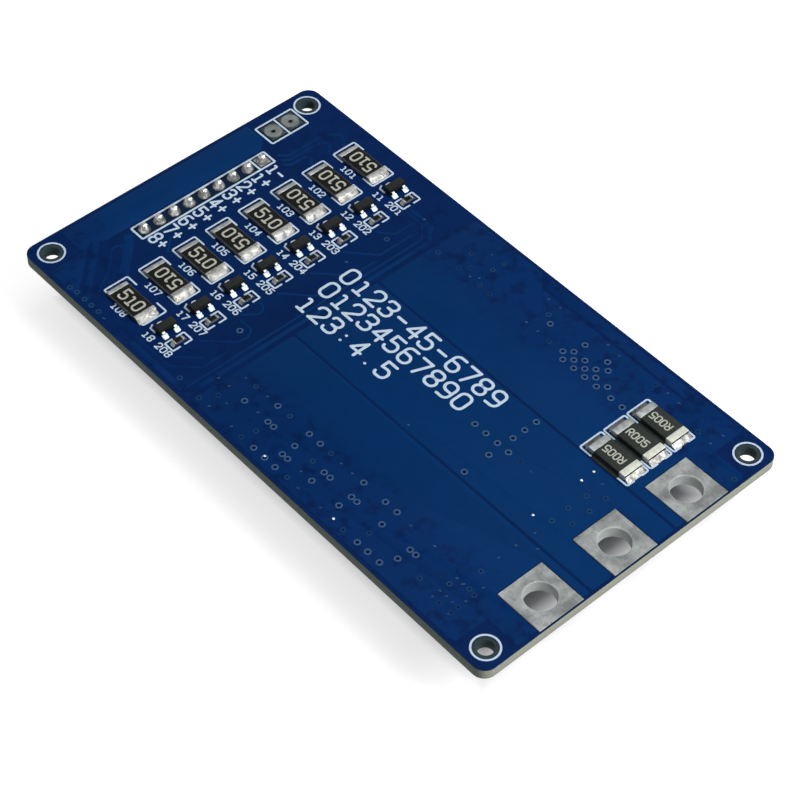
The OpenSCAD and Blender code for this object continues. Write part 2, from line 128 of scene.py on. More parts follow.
class BoardColours(bpy.types.PropertyGroup):
    mask_bare: FloatVectorProperty(
        name="Mask over laminate", description="Solder mask where no copper lies under it",
        subtype="COLOR", size=3, min=0, max=1, default=(0.0008, 0.0125, 0.070))
    mask_copper: FloatVectorProperty(
        name="Mask over copper", description="Solder mask where copper lies under it",
        subtype="COLOR", size=3, min=0, max=1, default=(0.0006, 0.0305, 0.125))
    mask_violet: FloatVectorProperty(
        name="Mask near the long edges", description="Solder mask where it lies thickest",
        subtype="COLOR", size=3, min=0, max=1, default=(0.0012, 0.0165, 0.098))
    print_ink: FloatVectorProperty(
        name="Printing", description="Printed lines and numbers on the board",
        subtype="COLOR", size=3, min=0, max=1, default=(0.52, 0.64, 0.77))
    laminate: FloatVectorProperty(
        name="Laminate edge", description="Sawn edge of the glass-epoxy laminate",
        subtype="COLOR", size=3, min=0, max=1, default=(0.36, 0.38, 0.31))
    laminate_face: FloatVectorProperty(
        name="Laminate face", description="Bare laminate round the fixing holes",
        subtype="COLOR", size=3, min=0, max=1, default=(0.014, 0.028, 0.031))
    tin: FloatVectorProperty(
        name="Tinned copper", description="Levelled tin on the terminals and pads",
        subtype="COLOR", size=3, min=0, max=1, default=(0.185, 0.197, 0.195))
    solder: FloatVectorProperty(
        name="Solder", description="Bright solder at the joints",
        subtype="COLOR", size=3, min=0, max=1, default=(0.62, 0.62, 0.60))
    plastic: FloatVectorProperty(
        name="Package plastic", description="Moulded bodies of the transistors and circuits",
        subtype="COLOR", size=3, min=0, max=1, default=(0.0075, 0.0088, 0.0088))
    header: FloatVectorProperty(
        name="Header plastic", description="Moulded shroud of the cell header",
        subtype="COLOR", size=3, min=0, max=1, default=(0.70, 0.67, 0.56))


class ReliefSizes(bpy.types.PropertyGroup):
    copper: FloatProperty(
        name="Copper relief", description="Height of the copper under the mask",
        subtype="DISTANCE", unit="LENGTH", default=0.025 * MM, min=0, max=0.1 * MM)
    ink: FloatProperty(
        name="Ink thickness", description="Height of a printed line, as a share of its width",
        default=0.10, min=0.02, max=0.5)
    line: FloatProperty(
        name="Outline width", description="Width of the printed outlines",
        subtype="DISTANCE", unit="LENGTH", default=0.27 * MM, min=0.1 * MM, max=0.5 * MM)
    via_ring: FloatProperty(
        name="Via ring", description="Radius of the copper ring round a via",
        subtype="DISTANCE", unit="LENGTH", default=0.48 * MM, min=0.2 * MM, max=0.8 * MM)
    via_bore: FloatProperty(
        name="Via hole", description="Radius of the hole in a via",
        subtype="DISTANCE", unit="LENGTH", default=0.24 * MM, min=0.1 * MM, max=0.4 * MM)
    lumps: FloatProperty(
        name="Solder lumps", description="How unevenly the solder has set",
        subtype="DISTANCE", unit="LENGTH", default=0.09 * MM, min=0, max=0.3 * MM)
    seed: IntProperty(
        name="Seed", description="Start of every random draw", default=7, min=0)


class StageSizes(bpy.types.PropertyGroup):
    lens: FloatProperty(
        name="Lens", description="Focal length of the camera", subtype="DISTANCE_CAMERA",
        default=108.26, min=20, max=300)
    azimuth: FloatProperty(
        name="Azimuth", description="Angle of the camera round the board",
        subtype="ANGLE", default=math.radians(47.7167))
    elevation: FloatProperty(
        name="Elevation", description="Angle of the camera above the board",
        subtype="ANGLE", default=math.radians(48.9803))
    roll: FloatProperty(
        name="Roll", description="Turn of the camera about its own line of sight",
        subtype="ANGLE", default=math.radians(0.9347))
    shift_right: FloatProperty(
        name="Shift right", description="How far the camera stands right of the board's middle",
        subtype="DISTANCE", unit="LENGTH", default=1.5972 * MM)
    shift_up: FloatProperty(
        name="Shift up", description="How far the camera stands above its line to the middle",
        subtype="DISTANCE", unit="LENGTH", default=-6.4186 * MM)
    distance: FloatProperty(
        name="Distance", description="How far back the camera stands from the board",
        subtype="DISTANCE", unit="LENGTH", default=307.7134 * MM, min=0)
    key: FloatProperty(
        name="Key light", description="Power of the large light on the right",
        subtype="POWER", unit="POWER", default=3.2, min=0)
    fill: FloatProperty(
        name="Fill light", description="Power of the soft light overhead",
        subtype="POWER", unit="POWER", default=1.2, min=0)
    room: FloatProperty(
        name="Room light", description="Strength of the light from overhead",
        default=0.52, min=0, max=2)
    floor: FloatProperty(
        name="Floor", description="Paleness of the floor", default=0.52, min=0, max=1)


# ---------------------------------------------------------------- node trees

class Wire:
    """A socket that takes part in Python sums: each sum adds its Math node."""

    def __init__(self, bench, socket):
        self.bench = bench
        self.socket = socket

    def math(self, operation, *values, clamp=False):
        settings = {"operation": operation, "use_clamp": clamp}
        return self.bench.node("ShaderNodeMath", settings, dict(enumerate(values)))

    def __add__(self, other):
        return self.math("ADD", self, other)

    __radd__ = __add__

    def __sub__(self, other):
        return self.math("SUBTRACT", self, other)

    def __rsub__(self, other):
        return self.math("SUBTRACT", other, self)

    def __mul__(self, other):
        return self.math("MULTIPLY", self, other)

    __rmul__ = __mul__

    def __truediv__(self, other):
        return self.math("DIVIDE", self, other)

    def __rtruediv__(self, other):
        return self.math("DIVIDE", other, self)

    def __abs__(self):
        return self.math("ABSOLUTE", self)

    def sine(self):
        return self.math("SINE", self)

    def least(self, other):
        return self.math("MINIMUM", self, other)

    def most(self, other):
        return self.math("MAXIMUM", self, other)

    def rise(self, start, end):
        """0 up to start, 1 from end on, and an even slope between them."""
        return self.math("MULTIPLY", self - start, 1 / (end - start), clamp=True)

    def length_with(self, other):
        return self.math("SQRT", self * self + other * other)


class Bench:
    """Builds one node tree."""

    def __init__(self, tree):
        self.tree = tree

    def feed(self, socket, value):
        """Links a wire to a socket, or sets the socket to a steady value."""
        if isinstance(value, Wire):
            self.tree.links.new(value.socket, socket)
        else:
            socket.default_value = value

    def node(self, kind, settings=None, inputs=None, output=0):
        """Adds a node: its settings first, then the values or links of its sockets."""
        made = self.tree.nodes.new(kind)
        for name, value in (settings or {}).items():
            setattr(made, name, value)
        for key, value in (inputs or {}).items():
            for single in value if isinstance(value, list) else [value]:
                self.feed(made.inputs[key], single)
        return Wire(self, made.outputs[output]) if made.outputs else None

    def split(self, vector):
        """The three parts of a vector."""
        first = self.node("ShaderNodeSeparateXYZ", None, {0: vector})
        return [Wire(self, out) for out in first.socket.node.outputs]

    def blend(self, share, first, second):
        """Mixes two colours."""
        first, second = (c if isinstance(c, Wire) else (*c, 1) for c in (first, second))
        return self.node("ShaderNodeMix", {"data_type": "RGBA", "clamp_factor": True},
                         {0: share, 6: first, 7: second}, 2)


class Finish(Bench):
    """One surface finish. Its shader's steady values are set on the sockets themselves."""

    def __init__(self, name, **steady):
        self.material = bpy.data.materials.new(name)
        self.material.use_nodes = True
        super().__init__(self.material.node_tree)
        self.shader = self.tree.nodes["Principled BSDF"]
        for key, value in steady.items():
            self.shader.inputs[key.replace("_", " ")].default_value = value
        self.place = self.node("ShaderNodeTexCoord", output=3)

    def axes(self):
        """The three coordinates, in millimetres."""
        return [part * (1 / MM) for part in self.split(self.place)]

    def cloud(self, size, detail=3.0, roughness=0.5, stretch=None):
        """Noise whose features measure size, in millimetres."""
        place = self.place
        if stretch:
            place = self.node("ShaderNodeMapping", None, {"Vector": place, "Scale": stretch})
        return self.node("ShaderNodeTexNoise", None, {
            "Vector": place, "Scale": 1 / (size * MM), "Detail": detail,
            "Roughness": roughness})

    def paint(self, colour):
        """Gives the shader its colour."""
        self.feed(self.shader.inputs["Base Color"], colour)

    def roughen(self, value):
        """Gives the shader its roughness."""
        self.feed(self.shader.inputs["Roughness"], value)

    def emboss(self, height, depth):
        """Bump of the given depth, in millimetres."""
        bump = self.node("ShaderNodeBump", None, {"Strength": 1.0, "Distance": depth * MM,
                                                  "Height": height})
        self.feed(self.shader.inputs["Normal"], bump)


def shade(colour, factor):
    """A colour made darker or lighter."""
    return tuple(min(1.0, c * factor) for c in colour)


def colours():
    """The colours in use."""
    return bpy.context.scene.board_colours


def relief():
    """The sizes in use."""
    return bpy.context.scene.board_relief


def within(value, inner, outer):
    """1 nearer to zero than inner, and 0 past outer."""
    return 1 - abs(value).rise(inner, outer)


def mask_finish(name):
    """Blue solder mask: teal over copper, a shade darker over the bare weave of the laminate."""
    c = colours()
    f = Finish(name, Specular_IOR_Level=0.022)
    x, y, z = f.axes()
    depth = abs(z - BOARD_T / 2) - BOARD_T / 2
    copper = depth.rise(-0.022, -0.006)
    patches = f.cloud(9, 2).rise(0.38, 0.64)
    blots = f.cloud(1.9, 3, 0.6).rise(0.50, 0.66)
    fine = f.cloud(1.1, 4, 0.6)
    weave = (x * (2 * math.pi / 0.62)).sine() * (y * (2 * math.pi / 0.55)).sine()
    outer = abs(y).rise(12.5, 16.5)
    tone = f.blend(copper * 0.8 + patches * 0.2, c.mask_bare, c.mask_copper)
    tone = f.blend(outer * 0.45 + patches * 0.15, tone, c.mask_violet)
    tone = f.blend(outer * blots * 0.9 + (1 - copper) * (0.10 + weave * 0.16), tone,
                   shade(c.mask_violet, 0.66))
    tone = f.blend((fine - 0.35) * 0.8, tone, shade(c.mask_copper, 0.66))
    by_header = within(x - HEADER_X, 1.05, 1.20) * within(y, 11.2, 11.4)
    by_sensors = within(x - SENSOR_MIDDLE.x, 1.72, 1.86) * within(y - SENSOR_MIDDLE.y, 3.0, 3.16)
    f.paint(f.blend(by_header.most(by_sensors) * 0.8, tone, (0.0045, 0.0145, 0.030)))
    f.roughen(0.30 + fine * 0.16)
    f.emboss(f.cloud(0.35, 3) + weave * (1 - copper) * 0.35 + f.cloud(2.5, 2) * 1.6, 0.006)
    return f


def dimple_finish(name):
    """Mask that has sagged over a covered via, painted paler than the mask round it as a glint."""
    f = Finish(name, Specular_IOR_Level=0.15)
    mottle = f.cloud(0.4, 2)
    some = f.cloud(5.0, 2).rise(0.40, 0.62)
    # Paler blue than the mask: a painted highlight.
    f.paint(f.blend(some * 0.8 + mottle * 0.2, (0.003, 0.028, 0.110), (0.020, 0.075, 0.165)))
    f.roughen(0.25 + mottle * 0.1)
    return f


def crater_finish(name):
    """Mask over the rim of a covered via, a little paler than the mask around it."""
    c = colours()
    f = Finish(name, Specular_IOR_Level=0.06)
    some = f.cloud(4.0, 2).rise(0.38, 0.62)
    f.paint(f.blend(some, shade(c.mask_copper, 0.75), (0.006, 0.040, 0.110)))
    f.roughen(0.4 + some * 0.1)
    return f


def via_mask_finish(name):
    """Mask drawn thin over the rim of a via, where the copper shows through it."""
    c = colours()
    f = Finish(name, Specular_IOR_Level=0.3)
    mottle = f.cloud(0.5, 2)
    f.paint(f.blend(mottle, shade(c.mask_copper, 1.15), (0.020, 0.088, 0.170)))
    f.roughen(0.25 + mottle * 0.2)
    return f


def pit_finish(name):
    """Painted shade on a flat disc: the dark mouth of a via's hole, and the dark middle of a covered
    via.
    """
    f = Finish(name, Specular_IOR_Level=0.02)
    mottle = f.cloud(0.3, 2)
    f.paint(f.blend(mottle, (0.0008, 0.006, 0.028), (0.002, 0.014, 0.060)))
    f.roughen(0.6 + mottle * 0.2)
    return f


def print_finish(name):
    """Screen-printed ink with a faint mottle and worn spots."""
    c = colours()
    f = Finish(name, Specular_IOR_Level=0.25)
    mottle = f.cloud(0.22, 3, 0.6)
    thin = f.cloud(1.6, 2).rise(0.60, 0.80)
    f.paint(f.blend(mottle * 0.30 + thin * 0.22, c.print_ink, shade(c.print_ink, 0.62)))
    f.roughen(0.55 + mottle * 0.2)
    f.emboss(mottle, 0.01)
    return f


def laminate_finish(name):
    """Glass-epoxy laminate: plies and saw marks on its edges, dark and smooth on its faces."""
    c = colours()
    f = Finish(name, Specular_IOR_Level=0.3)
    x, y, z = f.axes()
    face = abs(z - BOARD_T / 2).rise(0.750, 0.760)
    plies = (z * (2 * math.pi / 0.21) + f.cloud(1.2, 2) * 3.0).sine() * 0.5 + 0.5
    fibres = f.cloud(0.10, 3, 0.7, stretch=(0.18, 0.18, 1.0))
    chips = f.cloud(0.5, 4, 0.65).rise(0.56, 0.70)
    edge = f.blend(plies * 0.28 + fibres * 0.4, shade(c.laminate, 1.18), shade(c.laminate, 0.66))
    edge = f.blend(chips * 0.35, edge, (0.62, 0.62, 0.55))
    # The long edges are painted a darker green: painted shade on the long edges.
    long_edge_shade = abs(y).rise(HALF_W - 0.6, HALF_W - 0.05)
    edge = f.blend(long_edge_shade * (0.85 - chips * 0.25), edge, (0.105, 0.140, 0.125))
    # The walls of the fixing holes are painted dark: painted shade inside the holes.
    to_hole = (abs(x) - HOLE_X).length_with(abs(y) - HOLE_Y)
    edge = f.blend(1 - to_hole.rise(1.2, 1.3), edge, shade(c.laminate_face, 1.6))
    f.paint(f.blend(face, edge, c.laminate_face))
    f.roughen(0.72 + fibres * 0.2)
    f.emboss(fibres + plies * 0.4 + chips * 0.5, 0.03)
    return f


def tin_finish(name):
    """Hot-air levelled tin: smeared grey, with pits, fine scratches and a painted highlight along
    the swollen lip of the bore.
    """
    c = colours()
    f = Finish(name)
    x, y = f.axes()[:2]
    smear = f.cloud(2.6, 3, 0.6, stretch=(1.0, 0.6, 1.0))
    blotch = f.cloud(0.9, 4, 0.6)
    pits = f.cloud(0.42, 2, 0.5).rise(0.66, 0.74)
    scratch = f.cloud(0.16, 2, 0.5, stretch=(0.10, 1.0, 1.0)).rise(0.60, 0.74)
    spacing = TERMINALS[0].y / 2
    row = abs(abs(y) - spacing) - spacing
    to_bore = (x - TERMINALS[0].x).length_with(row)
    # A pale ring just round the bore: painted highlight on the lip.
    lip = within(to_bore - 2.22, 0.04, 0.13) * (0.4 + smear.rise(0.35, 0.6) * 0.6)
    wall = 1 - to_bore.rise(2.13, 2.19)
    apart = abs(SENSOR_PADS[0].y - SENSOR_MIDDLE.y)
    to_pad = (x - SENSOR_MIDDLE.x).length_with(abs(y - SENSOR_MIDDLE.y) - apart)
    on_sensor = 1 - to_pad.rise(2.2, 2.3)
    bare = on_sensor * (to_pad + blotch * 0.5).rise(1.42, 1.62)
    stain = on_sensor * (1 - (to_pad + blotch * 0.6).rise(0.55, 1.05))
    tone = f.blend(smear.rise(0.38, 0.62), shade(c.tin, 0.74), shade(c.tin, 1.42))
    tone = f.blend(blotch.rise(0.52, 0.78) * 0.6, tone, shade(c.tin, 0.55))
    tone = f.blend(scratch * 0.3 + lip * 0.45, tone, shade(c.tin, 2.1))
    tone = f.blend(pits * 0.6, tone, shade(c.tin, 0.30))
    tone = f.blend(on_sensor * 0.35 + stain * 0.3, tone, (0.075, 0.100, 0.098))
    tone = f.blend(bare * 0.85, tone, (0.010, 0.022, 0.028))
    f.paint(f.blend(wall * 0.9, tone, shade(c.tin, 2.4)))
    f.feed(f.shader.inputs["Metallic"], 0.85 - wall * 0.6)
    f.roughen(0.40 + blotch * 0.24 - scratch * 0.05 + wall * 0.2)
    f.emboss(smear * 2.5 + blotch + scratch * 0.25 - pits * 0.8, 0.02)
    return f


def solder_finish(name):
    """Bright solder, rippled as it set, with dull grains."""
    return set_solder(name, 0.46, 0.30, 0.35)


def joint_finish(name):
    """Solder that has set smooth and a little dull at the far end of a part."""
    return set_solder(name, 0.46, 0.32, 0.2)


def wetted_finish(name):
    """Thin solder over a plated lead: bright and cold in tone."""
    f = Finish(name, Metallic=0.8)
    ripple = f.cloud(0.45, 3, 0.55)
    grain = f.cloud(0.12, 3, 0.6)
    f.paint(f.blend(ripple.rise(0.40, 0.62), (0.46, 0.53, 0.57), (0.72, 0.79, 0.84)))
    f.roughen(0.36 + grain * 0.14)
    f.emboss(ripple * 2.0 + grain * 0.5, 0.04)
    return f


def film_finish(name):
    """A thin dark film of solder left on a pad."""
    return set_solder(name, 0.16, 0.45, 0.1)


def pin_joint_finish(name):
    """Solder round a header pin: mottled, darker towards its foot, with bright patches higher up
    that are painted highlights.
    """
    c = colours()
    f = Finish(name, Metallic=0.9)
    z = f.axes()[2]
    patch = f.cloud(0.75, 3, 0.6)
    grain = f.cloud(0.16, 3, 0.6)
    foot = 1 - (z + patch * 0.3).rise(BOARD_T + 0.20, BOARD_T + 0.48)
    # The bright patches are painted highlights.
    tone = f.blend(patch.rise(0.46, 0.62), shade(c.solder, 0.42), shade(c.solder, 1.25))
    tone = f.blend(grain.rise(0.5, 0.8) * 0.4, tone, shade(c.solder, 0.25))
    f.paint(f.blend(foot * 0.6, tone, shade(c.solder, 0.14)))
    f.roughen(0.26 + grain * 0.2)
    f.emboss(patch * 2.0 + grain * 0.5, 0.05)
    return f


def set_solder(name, bright, rough, warmth):
    """Solder of a given brightness, roughness and share of straw-coloured film."""
    c = colours()
    f = Finish(name, Metallic=0.95)
    ripple = f.cloud(0.45, 3, 0.55)
    grain = f.cloud(0.12, 3, 0.6)
    dull = f.cloud(0.9, 2).rise(0.45, 0.66)
    warm = f.cloud(0.7, 2).rise(0.5, 0.7)
    tone = f.blend(dull * 0.8, shade(c.solder, bright), shade(c.solder, 0.40 * bright))
    tone = f.blend(warm * warmth, tone, shade((0.60, 0.55, 0.42), bright))
    f.paint(f.blend(grain.rise(0.52, 0.8) * 0.45, tone, shade(c.solder, 1.3 * bright)))
    f.roughen(rough + dull * 0.16 + grain * 0.10)
    f.emboss(ripple * 2.2 + grain * 0.6, 0.045)
    return f


def cap_finish(name):
    """Plated end of a chip part: satin tin."""
    c = colours()
    f = Finish(name, Metallic=0.9)
    smear = f.cloud(0.8, 3)
    grain = f.cloud(0.10, 3, 0.6)
    f.paint(f.blend(smear.rise(0.35, 0.7), shade(c.tin, 1.05), shade(c.tin, 1.75)))
    f.roughen(0.34 + grain * 0.22)
    f.emboss(smear * 1.6 + grain * 0.4, 0.02)
    return f


def bright_cap_finish(name):
    """Plated end on the side towards the light, painted paler and warmer as a highlight, and brushed
    across.
    """
    f = Finish(name, Metallic=0.55)
    brushed = f.cloud(0.16, 3, 0.6, stretch=(1.0, 0.25, 1.0))
    smear = f.cloud(0.7, 3)
    tone = f.blend(smear.rise(0.35, 0.65), (0.47, 0.49, 0.43), (0.62, 0.63, 0.56))
    f.paint(f.blend(brushed.rise(0.45, 0.75) * 0.5, tone, (0.27, 0.29, 0.25)))
    f.roughen(0.45 + brushed * 0.2)
    f.emboss(brushed, 0.02)
    return f


def matt_finish(name, colour, light, rough, size, depth, gloss=0.35):
    """A plain material with its own grain: colour varies towards light."""
    f = Finish(name, Specular_IOR_Level=gloss)
    coarse = f.cloud(size * 9, 3, 0.55)
    grain = f.cloud(size, 3, 0.6)
    f.paint(f.blend(coarse.rise(0.40, 0.72) * 0.55 + grain.rise(0.5, 0.8) * 0.45, colour, light))
    f.roughen(rough + grain * 0.16)
    f.emboss(grain + coarse * 0.8, depth)
    return f


def plastic_finish(name):
    """Black moulding compound."""
    c = colours()
    return matt_finish(name, c.plastic, shade(c.plastic, 2.0), 0.46, 0.07, 0.012, 0.12)


def glaze_finish(name):
    """Black glaze over a resistor's film."""
    return matt_finish(name, (0.0040, 0.0040, 0.0034), (0.008, 0.008, 0.007), 0.26, 0.12, 0.006,
                       0.06)


def shunt_finish(name):
    """Dark moulded body of a shunt."""
    return matt_finish(name, (0.022, 0.027, 0.024), (0.036, 0.043, 0.038), 0.58, 0.08, 0.012, 0.1)


def ceramic_finish(name):
    """Ceramic side of a resistor, darkened to a dark grey as painted shade."""
    return matt_finish(name, (0.085, 0.105, 0.105), (0.16, 0.18, 0.18), 0.5, 0.06, 0.01)


def capacitor_finish(name):
    """Brown ceramic of a capacitor."""
    return matt_finish(name, (0.36, 0.22, 0.11), (0.46, 0.30, 0.17), 0.4, 0.08, 0.008)


def number_finish(name):
    """Ink of the numbers on the chips."""
    return matt_finish(name, (0.38, 0.39, 0.33), (0.54, 0.55, 0.48), 0.5, 0.05, 0.006)


def header_finish(name):
    """Ivory moulding of the header."""
    c = colours()
    return matt_finish(name, c.header, shade(c.header, 1.12), 0.40, 0.10, 0.008, 0.4)


def pin_finish(name):
    """Drawn and plated pins, dulled where solder has run up them above the board."""
    f = Finish(name, Metallic=1.0)
    draw = f.cloud(0.10, 3, 0.6, stretch=(1.0, 1.0, 0.08))
    smear = f.cloud(0.9, 2)
    z = f.axes()[2]
    plated = f.blend(draw * 0.6 + smear * 0.3, (0.72, 0.69, 0.62), (0.42, 0.40, 0.36))
    f.paint(f.blend(z.rise(BOARD_T, BOARD_T + 0.1) * 0.8, plated, (0.22, 0.23, 0.22)))
    f.roughen(0.22 + draw * 0.2)
    f.emboss(draw, 0.01)
    return f


FINISHES = {
    "solder_mask": mask_finish, "mask_dimple": dimple_finish, "mask_crater": crater_finish,
    "mask_on_vias": via_mask_finish, "via_pit": pit_finish, "printing_ink": print_finish,
    "laminate": laminate_finish, "levelled_tin": tin_finish, "solder_bright": solder_finish,
    "solder_joint": joint_finish, "solder_wetted": wetted_finish, "solder_film": film_finish,
    "pin_joint": pin_joint_finish, "chip_cap": cap_finish, "chip_cap_bright": bright_cap_finish,
    "package_plastic": plastic_finish, "resistor_glaze": glaze_finish,
    "shunt_body": shunt_finish, "chip_ceramic": ceramic_finish,
    "capacitor_body": capacitor_finish, "chip_number": number_finish,
    "header_plastic": header_finish, "pin_plating": pin_finish,
}


def finish(name):
    """The named finish, made the first time that it is asked for."""
    full = "finish." + name
    return bpy.data.materials.get(full) or FINISHES[name](full).material


# ---------------------------------------------------------------- meshes

def link(name, data):
    """A new object in the scene, at the origin."""
    made = bpy.data.objects.new(name, data)
    bpy.context.scene.collection.objects.link(made)
    return made


def to_mesh(holder):
    """Turns an object with live modifiers, or a curve, into a plain mesh object."""
    graph = bpy.context.evaluated_depsgraph_get()
    mesh = bpy.data.meshes.new_from_object(holder.evaluated_get(graph), depsgraph=graph)
    name = holder.name
    bpy.data.objects.remove(holder)
    made = link(name, mesh)
    mesh.name = name
    return made


def tidy(made, smooth=35.0):
    """Merges doubles, turns the faces outwards and smooths the shallow edges."""
    work = bmesh.new()
    work.from_mesh(made.data)
    bmesh.ops.remove_doubles(work, verts=work.verts, dist=1e-7)
    bmesh.ops.recalc_face_normals(work, faces=work.faces)
    work.to_mesh(made.data)
    work.free()
    made.data.shade_smooth()
    made.data.set_sharp_from_angle(angle=math.radians(smooth))
    return made


def declare(made, slot, *nodes):
    """Says what a piece is: on which body it rides and the nodes it replaces, which it hides. The
    slot is not used.
    """
    if not made.data.polygons:
        raise RuntimeError(f"{made.name} came out with no faces")
    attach(made, BODY)
    if nodes:
        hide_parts(*nodes)


class Assembly:
    """A piece put together from several bodies, each with its own finish."""

    def __init__(self, *finishes):
        self.finishes = finishes
        self.whole = bmesh.new()

    def add(self, part, finish_name, place=None):
        """Adds a body in one of the piece's finishes, and uses the body up."""
        number = self.finishes.index(finish_name)
        for face in part.faces:
            face.material_index = number
        if place:
            bmesh.ops.transform(part, matrix=place, verts=part.verts)
        mesh = bpy.data.meshes.new("part")
        part.to_mesh(mesh)
        part.free()
        self.whole.from_mesh(mesh)
        bpy.data.meshes.remove(mesh)

    def build(self, name, smooth=35.0):
        """The finished piece as an object, in metres."""
        bmesh.ops.scale(self.whole, vec=(MM, MM, MM), verts=self.whole.verts)
        mesh = bpy.data.meshes.new(name)
        bmesh.ops.recalc_face_normals(self.whole, faces=self.whole.faces)
        self.whole.to_mesh(mesh)
        self.whole.free()
        for finish_name in self.finishes:
            mesh.materials.append(finish(finish_name))
        mesh.shade_smooth()
        mesh.set_sharp_from_angle(angle=math.radians(smooth))
        return link(name, mesh)


def slab(rings, edge=0.0, steps=2):
    """A body through rectangles (length, width, height), with rounded edges."""
    part = bmesh.new()
    corners = ((-1, -1), (1, -1), (1, 1), (-1, 1))
    loops = [[part.verts.new((sx * length / 2, sy * width / 2, z)) for sx, sy in corners]
             for length, width, z in rings]
    part.faces.new(reversed(loops[0]))
    part.faces.new(loops[-1])
    for low, high in zip(loops, loops[1:]):
        for i in range(4):
            j = (i + 1) % 4
            part.faces.new((low[i], low[j], high[j], high[i]))
    if edge:
        bmesh.ops.bevel(part, geom=part.edges[:], offset=edge, segments=steps, profile=0.5,
                        affect="EDGES", clamp_overlap=True)
    return part


def box(low, high, edge=0.0, steps=2):
    """A block between two opposite corners, with rounded edges."""
    size = Vector(high) - Vector(low)
    part = slab([(size.x, size.y, 0), (size.x, size.y, size.z)], edge, steps)
    centre = (Vector(low) + Vector(high)) / 2
    bmesh.ops.translate(part, vec=(centre.x, centre.y, low[2]), verts=part.verts)
    return part


def rounded_corner(before, corner, after, radius, steps):
    """Points of a curve that rounds one corner, and takes up under half of each side."""
    before, corner, after = Vector(before), Vector(corner), Vector(after)
    reach = min(radius, (before - corner).length * 0.45, (after - corner).length * 0.45)
    start = corner + (before - corner).normalized() * reach
    end = corner + (after - corner).normalized() * reach
    return [start * (1 - t) ** 2 + corner * 2 * t * (1 - t) + end * t * t
            for t in (i / steps for i in range(steps + 1))]


def rounded_path(points, radius, steps=4):
    """A path through points with its corners rounded."""
    path = [Vector(points[0])]
    for before, corner, after in zip(points, points[1:], points[2:]):
        path += rounded_corner(before, corner, after, radius, steps)
    path.append(Vector(points[-1]))
    return path


def ribbon(points, thickness, width, radius):
    """A bent strip of sheet metal: points are its centre line in X and Z."""
    path = rounded_path(points, radius)
    part = bmesh.new()
    over, under = [], []
    for i, point in enumerate(path):
        along = (path[min(i + 1, len(path) - 1)] - path[max(i - 1, 0)]).normalized()
        across = Vector((-along.y, along.x)) * thickness / 2
        over.append(point + across)
        under.append(point - across)
    outline = over + under[::-1]
    near = [part.verts.new((p.x, -width / 2, p.y)) for p in outline]
    far = [part.verts.new((p.x, width / 2, p.y)) for p in outline]
    count = len(path)
    last = 2 * count - 1
    for side, flip in ((near, False), (far, True)):
        for i in range(count - 1):
            quad = (side[i], side[i + 1], side[last - i - 1], side[last - i])
            part.faces.new(quad[::-1] if flip else quad)
    for i in range(len(outline)):
        j = (i + 1) % len(outline)
        part.faces.new((near[j], near[i], far[i], far[j]))
    bmesh.ops.recalc_face_normals(part, faces=part.faces)
    return part


def wedge(width, run, rise, cover=0.0, over=0.03, ribs=10, steps=7):
    """Solder at the end of a part: over the part's end for cover, then down a hollow slope."""
    part = bmesh.new()
    profile = []
    if cover:
        profile += [(-cover, rise - 0.02), (-cover * 0.94, rise + over * 0.7),
                    (-cover * 0.5, rise + over), (0.0, rise + over * 0.6)]
    else:
        profile.append((0.0, rise))
    for i in range(1, steps + 1):
        t = i / steps
        profile.append((run * (1 - (1 - t) ** 1.7), rise * (1 - t) ** 1.9))
    profile += [(run * 0.5, 0.0), (-cover, 0.0)]
    sides = []
    for i in range(ribs + 1):
        u = 2 * i / ribs - 1
        waist = 1 - 0.22 * abs(u) ** 5
        fall = 1 - 0.35 * abs(u) ** 8
        sides.append([part.verts.new((px * waist if px > 0 else px, u * width / 2,
                                      pz * fall if px > 0 else pz)) for px, pz in profile])
    for near, far in zip(sides, sides[1:]):
        for i in range(len(profile)):
            j = (i + 1) % len(profile)
            part.faces.new((near[i], near[j], far[j], far[i]))
    part.faces.new(sides[0])
    part.faces.new(reversed(sides[-1]))
    bmesh.ops.recalc_face_normals(part, faces=part.faces)
    return part


def lathe(profile, steps=32):
    """A closed form turned about Z from a profile of (radius, height) that starts and ends on it."""
    part = bmesh.new()
    rings = []
    for r, z in profile:
        if r < 1e-6:
            rings.append([part.verts.new((0, 0, z))])
        else:
            rings.append([part.verts.new((r * math.cos(a), r * math.sin(a), z))
                          for a in (2 * math.pi * i / steps for i in range(steps))])
    if profile[0] == profile[-1]:
        rings[-1] = rings[0]
    for one, two in zip(rings, rings[1:]):
        for i in range(steps):
            j = (i + 1) % steps
            corners = [one[i % len(one)], one[j % len(one)], two[j % len(two)], two[i % len(two)]]
            corners = list(dict.fromkeys(corners))
            if len(corners) > 2:
                part.faces.new(corners)
    bmesh.ops.recalc_face_normals(part, faces=part.faces)
    return part


def plate(name, outlines, low, high, edge=0.0):
    """A flat plate with holes: outlines are closed loops in millimetres, low and high its faces."""
    curve = bpy.data.curves.new(name, "CURVE")
    curve.dimensions = "2D"
    curve.fill_mode = "BOTH"
    curve.extrude = ((high - low) / 2 - edge) * MM
    curve.bevel_depth = edge * MM
    curve.bevel_resolution = 1
    curve.offset = -edge * MM
    for outline in outlines:
        spline = curve.splines.new("POLY")
        spline.points.add(len(outline) - 1)
        for point, (x, y) in zip(spline.points, outline):
            point.co = (x * MM, y * MM, 0, 1)
        spline.use_cyclic_u = True
    made = to_mesh(link(name, curve))
    made.data.transform(Matrix.Translation((0, 0, (low + high) / 2 * MM)))
    return tidy(made, 30)


def circle(x, y, radius, steps=48):
    """A closed loop of points about x, y."""
    return [(x + radius * math.cos(2 * math.pi * i / steps),
             y + radius * math.sin(2 * math.pi * i / steps)) for i in range(steps)]


